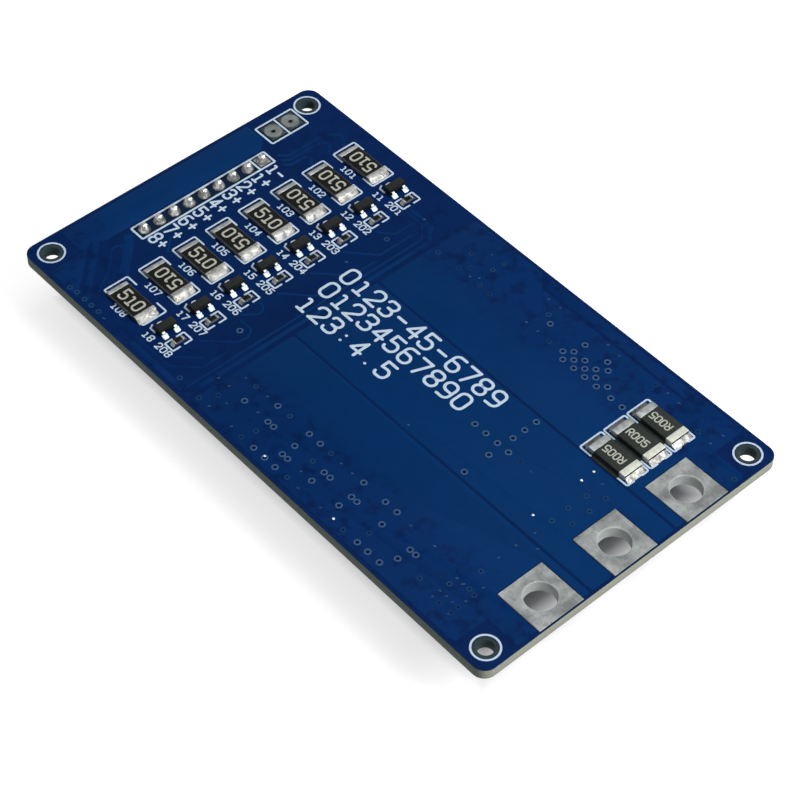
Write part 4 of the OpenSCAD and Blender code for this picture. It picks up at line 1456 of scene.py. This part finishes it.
def tinned_pad(name, at, size, node):
    """Tinned copper on both faces and down the hole, with the swollen edges of levelled tin."""
    length, width, bore = size
    r = bore / 2
    lip = r + 0.24
    top = BOARD_T + TIN
    part = bmesh.new()

    def ring(share, z, inset=0.0, radius=r):
        """Share 0 is the hole's round edge and 1 the pad's outline."""
        made = []
        for i in range(PAD_STEPS):
            quarter, along = divmod(i * 4 / PAD_STEPS, 1)
            u = 2 * along - 1
            a = math.pi / 2 * quarter + math.pi / 4 * u
            u, v = ((1, u), (-u, 1), (-1, -u), (u, -1))[int(quarter)]
            corner = Vector((u * (length / 2 - inset), v * (width / 2 - inset)))
            point = Vector((radius * math.cos(a), radius * math.sin(a))).lerp(corner, share)
            lift = 0.0
            if share < 1 and z - BOARD_T / 2 > BOARD_T / 2 + TIN * 0.8:
                spot = Vector((point.x * 0.45 + at.x, point.y * 0.45 + at.y, z))
                lift = -abs(noise.noise(spot)) * 0.035
            made.append(part.verts.new((point.x, point.y, z + lift)))
        return made

    upper = [ring(0, BOARD_T / 2), ring(0, BOARD_T - 0.05), ring(0, BOARD_T + 0.03, 0, r + 0.02),
             ring(0, top - 0.02, 0, r + 0.10), ring(0, top, 0, lip)]
    upper += [ring(share, top, 0, lip) for share in (0.12, 0.28, 0.45, 0.62, 0.78, 0.9, 0.965)]
    upper += [ring(1, top - 0.006, 0.05), ring(1, top - 0.035, 0.012), ring(1, top - 0.07),
              ring(1, BOARD_T), ring(1, BOARD_T, 0.2), ring(0, BOARD_T, 0, r + LINING)]
    lower = [[part.verts.new((v.co.x, v.co.y, BOARD_T - v.co.z)) for v in loop]
             for loop in upper[1:]]
    loops = list(reversed(lower)) + upper
    loops.append(loops[0])
    for one, two in zip(loops, loops[1:]):
        for i in range(PAD_STEPS):
            j = (i + 1) % PAD_STEPS
            part.faces.new((one[i], one[j], two[j], two[i]))
    whole = Assembly("levelled_tin")
    whole.add(part, "levelled_tin", Matrix.Translation((at.x, at.y, 0)))
    declare(whole.build(name, 40), "tinned_copper", node)


def dress_pads():
    """The tinned pads of the power terminals and of the sensor."""
    for kind, places, size in (("power_terminal", TERMINALS, TERMINAL_PAD),
                               ("sensor_pad", SENSOR_PADS, SENSOR_PAD)):
        for i, at in enumerate(places, 1):
            tinned_pad(f"{kind}_{i}.tin", at, size, f"{kind}_{i}")


# ---------------------------------------------------------------- cell header

def dress_header():
    """Finishes of the header's own nodes, the solder round its pins, and its square first pad."""
    for node, look in (("header_shroud", "header_plastic"), ("header_pins", "pin_plating")):
        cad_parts[node].data.materials.clear()
        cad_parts[node].data.materials.append(finish(look))
    cone = ((0, 0.80), (0.36, 0.98), (0.44, 0.94), (0.52, 0.82), (0.60, 0.64), (0.68, 0.45),
            (0.76, 0.28), (0.84, 0.12), (0.90, 0.02), (0.90, -0.028), (0.5, -0.028))
    profile = [(r, BOARD_T + z) for r, z in cone]
    profile += [(0.5, 0.0), (0.8, 0.0), (0.78, -0.05), (0, -0.05)]
    places = [(HEADER_X, y, 0, 40 * i, False) for i, y in enumerate(PIN_ROWS)]
    joints = repeat("header_joints", lathe(profile, 40), places, "pin_joint",
                    relief().lumps / MM, 0.55)
    declare(joints, "solder", "header_solder")
    first = Assembly("levelled_tin")
    first.add(box((-0.9, -0.9, BOARD_T - 0.03), (0.9, 0.9, BOARD_T + 0.045), 0.03),
              "levelled_tin", Matrix.Translation((HEADER_X, PIN_ROWS[0], 0)))
    declare(first.build("header_first_pad"), "tinned_copper")


# ---------------------------------------------------------------- chips

def add_chip(whole, place, size, cap, body, glaze, caps):
    """One chip: its body, the glaze on top of it, and a metal cap on either end."""
    length, width, height = size
    inner = length / 2 - cap
    whole.add(box((-inner - 0.05, -width / 2 + 0.01, 0.03),
                  (inner + 0.05, width / 2 - 0.01, height - 0.045), 0.015), body, place)
    whole.add(slab([(2 * inner + 0.02, width - 0.10, height - 0.06),
                    (2 * inner + 0.01, width - 0.12, height - 0.018)], 0.012), glaze, place)
    for side, look in zip(SIDES, caps):
        low = (min(side * inner, side * length / 2), -width / 2, 0)
        high = (max(side * inner, side * length / 2), width / 2, height)
        whole.add(box(low, high, min(0.09, cap * 0.3), 3), look, place)


def chips(node, places, size, cap, finishes, slot="chip_resistor", under=False,
          caps=("chip_cap", "chip_cap")):
    """Several like chips of one node, at places of (x, y, turn)."""
    whole = Assembly(*dict.fromkeys((*caps, *finishes)))
    for x, y, turn in places:
        place = (Matrix.Translation((x, y, 0.0 if under else BOARD_T))
                 @ (FLIP if under else Matrix()) @ Matrix.Rotation(math.radians(turn), 4, "Z"))
        add_chip(whole, place, size, cap, *finishes, caps)
    declare(whole.build(f"{node}.body"), slot, node)


# Length, width and height of each kind of chip
BALANCE, SMALL, SHUNT = (6.35, 3.2, 0.6), (1.6, 0.8, 0.45), (6.4, 3.15, 0.8)
TALL, GATE = (SMALL[0], SMALL[1], 0.8), (1.5, 0.8, 0.45)
# Lengths of the caps on their ends
BALANCE_CAP, SMALL_CAP, SHUNT_CAP = 0.65, 0.3, 1.05
# Finishes of their bodies and of the glaze on top
RESISTOR, CAPACITOR = ("chip_ceramic", "resistor_glaze"), ("capacitor_body", "capacitor_body")
# How each balancing resistor lies, and each shunt: some were placed the other way round
BALANCE_TURNS, SHUNT_TURNS = (180, 180, 180, 0, 180, 0, 180, 0), (180, 0, 180)
# How far the lines of the numbers lie below the top of their chip
NUMBER_SINK = 0.018


def dress_balancing_chips():
    """The balancing resistors with their numbers, and the small resistors beside them."""
    numbers = []
    for i, turn in zip(GROUPS, BALANCE_TURNS):
        node = f"balance_resistor_{i}"
        at = middle(node)
        chips(node, [(at.x, at.y, 0)], BALANCE, BALANCE_CAP, RESISTOR)
        numbers += written("510", at.x + 0.1, at.y + 0.02, 1.8, 0.29, 1.38, turn, wide=0.56)
        node = f"bias_resistor_{i}"
        at = middle(node)
        chips(node, [(at.x, at.y, 90)], SMALL, SMALL_CAP, RESISTOR)
    declare(lines("chip_numbers", numbers, BOARD_T + BALANCE[2] - NUMBER_SINK, "chip_number",
                  0.08), "chip_resistor")


def dress_shunts():
    """The shunts with their numbers, dark plates of painted shadow beside them and at their ends,
    and the pads they stand on.
    """
    numbers = []
    dark, pads = Assembly("shunt_body"), Assembly("solder_film")
    for i, turn in zip(SHUNTS, SHUNT_TURNS):
        node = f"shunt_resistor_{i}"
        at = middle(node)
        # The end towards the terminals takes a cap painted paler, as a highlight.
        chips(node, [(at.x, at.y, 0)], SHUNT, SHUNT_CAP, ("shunt_body", "shunt_body"),
              "shunt_metal", caps=("chip_cap", "chip_cap_bright"))
        side = at.y - SHUNT[1] / 2
        start, end = at.x - SHUNT[0] / 2, at.x + SHUNT[0] / 2
        # A dark plate along the -Y side of each shunt: painted shadow.
        dark.add(box((at.x - 2.15, side - 0.50, BOARD_T - 0.02),
                     (at.x + 2.3, side + 0.05, BOARD_T + 0.10), 0.04), "shunt_body")
        # A thin dark plate on the end towards the terminals: painted shade between the cap and the
        # solder.
        dark.add(box((end - 0.02, at.y - 1.5, BOARD_T + 0.2),
                     (end + 0.035, at.y + 1.5, BOARD_T + 0.74), 0.01), "shunt_body")
        pads.add(box((start - 0.84, at.y - 1.3, BOARD_T - 0.01),
                     (start + 0.1, at.y + 1.3, BOARD_T + 0.05), 0.04), "solder_film")
        numbers += written("R005", at.x - 0.15, at.y - 0.02, 1.08, 0.19, 0.86, turn, wide=0.55)
    declare(lines("shunt_numbers", numbers, BOARD_T + SHUNT[2] - NUMBER_SINK, "chip_number",
                  0.08), "shunt_metal")
    declare(dark.build("shunt_glue"), "shunt_metal")
    declare(pads.build("shunt_pads"), "solder")


def timing_places():
    """Middles of the timing capacitors, one at each corner of their node's box."""
    at, size = middle("timing_capacitors"), span("timing_capacitors")
    return [(at.x + sx * (size.x - SMALL[1]) / 2, at.y + sy * (size.y - SMALL[0]) / 2)
            for sx in SIDES for sy in SIDES]


def dress_under_chips():
    """The resistors and capacitors of the underside."""
    x = middle("filter_resistors").x
    chips("filter_resistors", [(x, y, 0) for y in CELL_ROWS], SMALL, SMALL_CAP, RESISTOR,
          under=True)
    x = middle("filter_capacitors").x
    chips("filter_capacitors", [(x, y, 0) for y in CELL_ROWS], TALL, SMALL_CAP, CAPACITOR,
          "capacitor_ceramic", under=True)
    chips("timing_capacitors", [(x, y, 90) for x, y in timing_places()], TALL, SMALL_CAP,
          CAPACITOR, "capacitor_ceramic", under=True)
    spots = []
    for i in POWER_TRANSISTORS:
        at = middle(f"power_transistor_{i}")
        spots.append((at.x + outward(at) * 2.28, outward(at) * 1.3, 90))
    chips("gate_resistors", spots, GATE, SMALL_CAP, RESISTOR, under=True)


# ---------------------------------------------------------------- packages

def moulded(length, width, low, parting, high, draft=0.12, edge=0.05):
    """A moulded body: narrower above and below the line where the mould parts."""
    up, down = draft * (high - parting), draft * (parting - low)
    return slab([(length - 2 * down, width - 2 * down, low), (length, width, parting),
                 (length - 2 * up, width - 2 * up, high)], edge)


def add_small_transistor(whole, place):
    """A small moulded body with its three formed legs."""
    whole.add(moulded(1.3, 2.9, 0.08, 0.5, 1.0), "package_plastic", place)
    for x_side, y in ((1, -0.95), (1, 0.95), (-1, 0.0)):
        leg = ribbon([(0.55, 0.5), (0.80, 0.5), (0.95, 0.075), (1.2, 0.075)], 0.15, 0.4, 0.12)
        turn = Matrix.Rotation(0 if x_side > 0 else math.pi, 4, "Z")
        whole.add(leg, "solder_wetted", place @ Matrix.Translation((0, y, 0)) @ turn)


def dress_small_transistors():
    """The small transistors of both faces."""
    for kind, numbers, z, turn in (("balance_transistor", GROUPS, BOARD_T, Matrix()),
                                   ("driver_transistor", PAIR, 0, FLIP)):
        for i in numbers:
            node = f"{kind}_{i}"
            at = middle(node)
            whole = Assembly("package_plastic", "solder_wetted")
            add_small_transistor(whole, Matrix.Translation((at.x, at.y, z)) @ turn)
            declare(whole.build(f"{node}.body", 40), "package_plastic", node)


def dress_power_transistors():
    """The power transistors: body with its mould mark, tab, two legs and the cut-off third."""
    body_mid = -0.95
    mark = [(0, 2.25), (0.62, 2.25), (0.66, 2.30), (0.72, 2.30), (0.75, 2.2), (0, 2.2)]
    leg = [(1.7, 1.035), (3.0, 1.035), (3.95, 0.25), (5.0, 0.25)]
    for i in POWER_TRANSISTORS:
        node = f"power_transistor_{i}"
        at = middle(node)
        turn = 90 if i <= 3 else -90
        place = (Matrix.Translation((at.x, at.y, 0)) @ FLIP
                 @ Matrix.Rotation(math.radians(turn), 4, "Z"))
        whole = Assembly("package_plastic", "levelled_tin")
        whole.add(moulded(6.1, 6.6, 0.0, 0.5, 2.3, 0.12, 0.08), "package_plastic",
                  place @ Matrix.Translation((body_mid, 0, 0)))
        whole.add(lathe(mark, 24), "package_plastic",
                  place @ Matrix.Translation((body_mid + 1.6, 0, 0)))
        whole.add(box((-5.0, -2.6, 0.0), (-2.6, 2.6, 0.5), 0.06), "levelled_tin", place)
        for y in (-2.28, 2.28):
            whole.add(ribbon(leg, 0.5, 0.76, 0.45), "levelled_tin",
                      place @ Matrix.Translation((0, y, 0)))
        whole.add(box((1.7, -0.38, 0.785), (2.75, 0.38, 1.285), 0.04), "levelled_tin", place)
        declare(whole.build(f"{node}.body", 40), "package_plastic", node)


def dress_protection_circuits():
    """The two long circuits, each with the mark of its first leg, and all their legs."""
    legs_a_side = 14
    mark = [(0, 1.06), (0.38, 1.06), (0.42, 1.10), (0.47, 1.10), (0.49, 1.05), (0, 1.05)]
    places = []
    for i in PAIR:
        node = f"protection_circuit_{i}"
        at = middle(node)
        place = Matrix.Translation((at.x, at.y, 0)) @ FLIP
        whole = Assembly("package_plastic")
        whole.add(moulded(4.4, 9.7, 0.08, 0.55, 1.1, 0.12, 0.05), "package_plastic", place)
        whole.add(lathe(mark, 24), "package_plastic",
                  place @ Matrix.Translation((-1.3, 3.95, 0)))
        declare(whole.build(f"{node}.body", 40), "package_plastic", node)
        places += [(at.x, at.y + ((legs_a_side - 1) / 2 - k) * LEG_PITCH, 0, turn, True)
                   for turn in (0, 180) for k in range(legs_a_side)]
    leg = ribbon([(2.0, 0.55), (2.5, 0.55), (2.85, 0.075), (3.2, 0.075)], 0.15, 0.24, 0.15)
    declare(repeat("protection_circuit_legs", leg, places, "chip_cap"), "package_plastic")


# ---------------------------------------------------------------- solder

def small_joint():
    """Solder at the end of a small chip."""
    return wedge(0.78, 0.34, 0.38, ribs=6, steps=5)


def dress_solder():
    """Solder at the ends and legs of the parts on the upper face."""
    lumps = relief().lumps / MM
    ends, starts, small, legs, shunt_ends, shunt_starts = [], [], [], [], [], []
    for i in GROUPS:
        at = middle(f"balance_resistor_{i}")
        ends.append((at.x + BALANCE[0] / 2, at.y, BOARD_T, 0, False))
        starts.append((at.x - BALANCE[0] / 2, at.y, BOARD_T, 180, False))
        at = middle(f"bias_resistor_{i}")
        small += [(at.x, at.y + side * SMALL[0] / 2, BOARD_T, side * 90, False)
                  for side in SIDES]
        at = middle(f"balance_transistor_{i}")
        legs += [(at.x + 1.02, at.y + y, BOARD_T, 0, False) for y in (-0.95, 0.95)]
        legs.append((at.x - 1.02, at.y, BOARD_T, 180, False))
    for i in SHUNTS:
        at = middle(f"shunt_resistor_{i}")
        shunt_ends.append((at.x + SHUNT[0] / 2 + 0.05, at.y, BOARD_T, 0, False))
        shunt_starts.append((at.x - SHUNT[0] / 2, at.y, BOARD_T, 180, False))
    declare(repeat("balance_joints_bright", wedge(3.2, 0.82, 0.58, cover=0.56, over=0.05), ends,
                   "solder_bright", lumps, 0.6), "solder", "balance_solder")
    declare(repeat("balance_joints", wedge(3.1, 0.55, 0.45), starts, "solder_joint",
                   lumps * 0.4, 0.7), "solder")
    declare(repeat("bias_joints", small_joint(), small, "solder_joint", lumps * 0.3, 0.3),
            "solder", "bias_solder")
    at_leg = wedge(0.8, 0.52, 0.22, cover=0.22, over=0.05, ribs=6, steps=5)
    declare(repeat("transistor_joints", at_leg, legs, "solder_wetted", lumps * 0.5, 0.35),
            "solder", "transistor_solder")
    declare(repeat("shunt_joints_bright", wedge(3.1, 0.76, 0.50), shunt_ends, "solder_bright",
                   lumps, 0.6), "solder", "shunt_solder")
    declare(repeat("shunt_joints", wedge(3.05, 0.55, 0.46), shunt_starts, "solder_joint",
                   lumps * 0.4, 0.7), "solder")


def dress_under_solder():
    """Solder at the small chips and the power transistors' tabs on the underside."""
    reach = SMALL[0] / 2
    small = [(middle(node).x + side * reach, y, 0, 0 if side > 0 else 180, True)
             for node in ("filter_resistors", "filter_capacitors") for y in CELL_ROWS
             for side in SIDES]
    small += [(x, y + side * reach, 0, -side * 90, True)
              for x, y in timing_places() for side in SIDES]
    tabs = []
    for i in POWER_TRANSISTORS:
        at = middle(f"power_transistor_{i}")
        tabs.append((at.x, at.y + outward(at) * 5.0, 0, -outward(at) * 90, True))
    declare(repeat("underside_joints", small_joint(), small, "solder_bright", 0.02, 0.3),
            "solder", "underside_solder")
    declare(repeat("tab_joints", wedge(5.2, 0.82, 0.48), tabs, "solder_bright", 0.05, 0.7),
            "solder")


# ---------------------------------------------------------------- stage

def aim(holder, place, target):
    """Stands something at a place, looking at its target."""
    holder.location = place
    holder.rotation_euler = (Vector(target) - Vector(place)).to_track_quat("-Z", "Y").to_euler()


def lamp(name, power, size, place):
    """A round lamp that looks at the board."""
    data = bpy.data.lights.new(name, "AREA")
    data.shape = "DISK"
    data.size = size
    data.energy = power
    aim(link(name, data), place, (0, 0, 0))


def set_camera(stage):
    """Looks down on the board from the stage's distance, turned and shifted as it says."""
    a, e, roll = stage.azimuth, stage.elevation, stage.roll
    back = Vector((math.sin(a) * math.cos(e), -math.cos(a) * math.cos(e), math.sin(e)))
    right = Vector((math.cos(a), math.sin(a), 0))
    up = back.cross(right)
    turned = right * math.cos(roll) + up * math.sin(roll)
    up = up * math.cos(roll) - right * math.sin(roll)
    data = bpy.data.cameras.new("camera")
    data.lens = stage.lens
    data.sensor_width = 36
    data.clip_start = 0.01
    data.clip_end = 20
    camera = link("camera", data)
    spot = (turned * stage.shift_right + up * stage.shift_up + back * stage.distance
            + Vector((0, 0, BOARD_T * MM)))
    camera.matrix_world = Matrix.Translation(spot) @ Matrix(
        (turned, up, back)).transposed().to_4x4()
    bpy.context.scene.camera = camera


def set_world(stage):
    """A room that is white to look at, and whose light comes from overhead."""
    world = bpy.data.worlds.new("studio")
    bpy.context.scene.world = world
    world.use_nodes = True
    bench = Bench(world.node_tree)
    world.node_tree.nodes.clear()
    overhead = bench.split(bench.node("ShaderNodeTexCoord"))[2].rise(0.30, 0.90)
    shown = seen_rays(bench)
    light = bench.node("ShaderNodeBackground", None, {
        "Color": (1, 1, 1, 1), "Strength": shown + (1 - shown) * overhead * stage.room})
    bench.node("ShaderNodeOutputWorld", None, {0: light})


def seen_rays(bench):
    """1 for rays that show a surface to the camera, in a reflection or through glass."""
    seen = [bench.node("ShaderNodeLightPath", output=name)
            for name in ("Is Camera Ray", "Is Glossy Ray", "Is Transmission Ray")]
    return seen[0].most(seen[1]).most(seen[2])


def make_floor(stage):
    """A pale floor that glows white for the camera, with the glow faded out under the board as
    painted shade.
    """
    work = bmesh.new()
    bmesh.ops.create_grid(work, x_segments=1, y_segments=1, size=1.5)
    bmesh.ops.translate(work, vec=(0, 0, CAD_BOX[0][2] - 0.00002), verts=work.verts)
    mesh = bpy.data.meshes.new("floor")
    work.to_mesh(mesh)
    work.free()
    floor = link("floor", mesh)
    f = Finish("floor_paper", Specular_IOR_Level=0.0)
    x, y = f.axes()[:2]
    mottle = f.cloud(30, 2)
    pale = (stage.floor,) * 3
    beyond = (abs(x) - HALF_L).most(abs(y) - HALF_W)
    # The glow fades out under the board, which leaves the floor there darker: painted shade under
    # the board.
    clear = beyond.rise(-8.0, -2.0)
    f.paint(f.blend(mottle * 0.3, pale, shade(pale, 0.985)))
    f.roughen(0.9 + mottle * 0.05)
    glow = f.node("ShaderNodeEmission", None, {
        "Color": (1, 1, 1, 1), "Strength": seen_rays(f) * clear * 0.72})
    both = f.node("ShaderNodeAddShader", None, {0: Wire(f, f.shader.outputs[0]), 1: glow})
    f.feed(f.tree.nodes["Material Output"].inputs[0], both)
    mesh.materials.append(f.material)


# ---------------------------------------------------------------- operators

class BOARD_OT_stage(bpy.types.Operator):
    """Set up the camera, the lights, the room and the pale floor"""
    bl_idname = "battery_board.stage"
    bl_label = "Stage"

    def execute(self, context):
        stage = context.scene.board_stage
        set_camera(stage)
        set_world(stage)
        make_floor(stage)
        lamp("key_light", stage.key, 0.30, (0.46, 0.20, 0.40))
        lamp("fill_light", stage.fill, 0.50, (-0.10, 0.20, 0.62))
        context.scene.view_settings.view_transform = "Standard"
        return {"FINISHED"}


class BOARD_OT_laminate(bpy.types.Operator):
    """Make the laminate, its solder mask and the copper areas and tracks under it"""
    bl_idname = "battery_board.laminate"
    bl_label = "Laminate, mask and copper"

    def execute(self, context):
        dress_board()
        dress_tracks()
        return {"FINISHED"}


class BOARD_OT_vias(bpy.types.Operator):
    """Make the open, covered and solder-filled vias"""
    bl_idname = "battery_board.vias"
    bl_label = "Vias"

    def execute(self, context):
        dress_vias()
        return {"FINISHED"}


class BOARD_OT_printing(bpy.types.Operator):
    """Print the outlines and numbers on both faces"""
    bl_idname = "battery_board.printing"
    bl_label = "Printing"

    def execute(self, context):
        line = relief().line / MM
        height = line * relief().ink * 0.3
        declare(lines("printing_upper", top_print(), BOARD_T + height, "printing_ink"),
                "solder_mask")
        declare(lines("printing_under", under_print(), -height, "printing_ink"), "solder_mask")
        return {"FINISHED"}


class BOARD_OT_pads(bpy.types.Operator):
    """Make the tinned power terminals and sensor pads"""
    bl_idname = "battery_board.pads"
    bl_label = "Terminals and pads"

    def execute(self, context):
        dress_pads()
        return {"FINISHED"}


class BOARD_OT_header(bpy.types.Operator):
    """Finish the cell header and make its solder joints"""
    bl_idname = "battery_board.header"
    bl_label = "Cell header"

    def execute(self, context):
        dress_header()
        return {"FINISHED"}


class BOARD_OT_chips(bpy.types.Operator):
    """Make the resistors and capacitors on both faces, with their numbers"""
    bl_idname = "battery_board.chips"
    bl_label = "Chips"

    def execute(self, context):
        dress_balancing_chips()
        dress_shunts()
        dress_under_chips()
        return {"FINISHED"}


class BOARD_OT_packages(bpy.types.Operator):
    """Make the transistors and the protection circuits"""
    bl_idname = "battery_board.packages"
    bl_label = "Transistors and circuits"

    def execute(self, context):
        dress_small_transistors()
        dress_power_transistors()
        dress_protection_circuits()
        return {"FINISHED"}


class BOARD_OT_solder(bpy.types.Operator):
    """Make the solder at the ends of the parts"""
    bl_idname = "battery_board.solder"
    bl_label = "Solder"

    def execute(self, context):
        dress_solder()
        dress_under_solder()
        return {"FINISHED"}


STEPS = (BOARD_OT_stage, BOARD_OT_laminate, BOARD_OT_vias, BOARD_OT_printing, BOARD_OT_pads,
         BOARD_OT_header, BOARD_OT_chips, BOARD_OT_packages, BOARD_OT_solder)


class BOARD_PT_panel(bpy.types.Panel):
    """Lists the sizes, the colours and the steps"""
    bl_idname = "BOARD_PT_panel"
    bl_label = "Battery board"
    bl_space_type = "VIEW_3D"
    bl_region_type = "UI"
    bl_category = "Board"

    def draw(self, context):
        for settings in (context.scene.board_colours, context.scene.board_relief,
                         context.scene.board_stage):
            part = self.layout.box()
            for name in settings.bl_rna.properties.keys():
                if name not in ("rna_type", "name"):
                    part.prop(settings, name)
        for step in STEPS:
            self.layout.operator(step.bl_idname)


GROUPS_OF_SETTINGS = {
    "board_colours": BoardColours, "board_relief": ReliefSizes, "board_stage": StageSizes}


def register():
    for cls in (*GROUPS_OF_SETTINGS.values(), *STEPS, BOARD_PT_panel):
        bpy.utils.register_class(cls)
    for name, cls in GROUPS_OF_SETTINGS.items():
        setattr(bpy.types.Scene, name, PointerProperty(type=cls))


def unregister():
    for name in GROUPS_OF_SETTINGS:
        delattr(bpy.types.Scene, name)
    for cls in reversed((*GROUPS_OF_SETTINGS.values(), *STEPS, BOARD_PT_panel)):
        bpy.utils.unregister_class(cls)


def main():
    register()
    for step in STEPS:
        area, name = step.bl_idname.split(".")
        getattr(getattr(bpy.ops, area), name)()


if __name__ == "__main__":
    main()
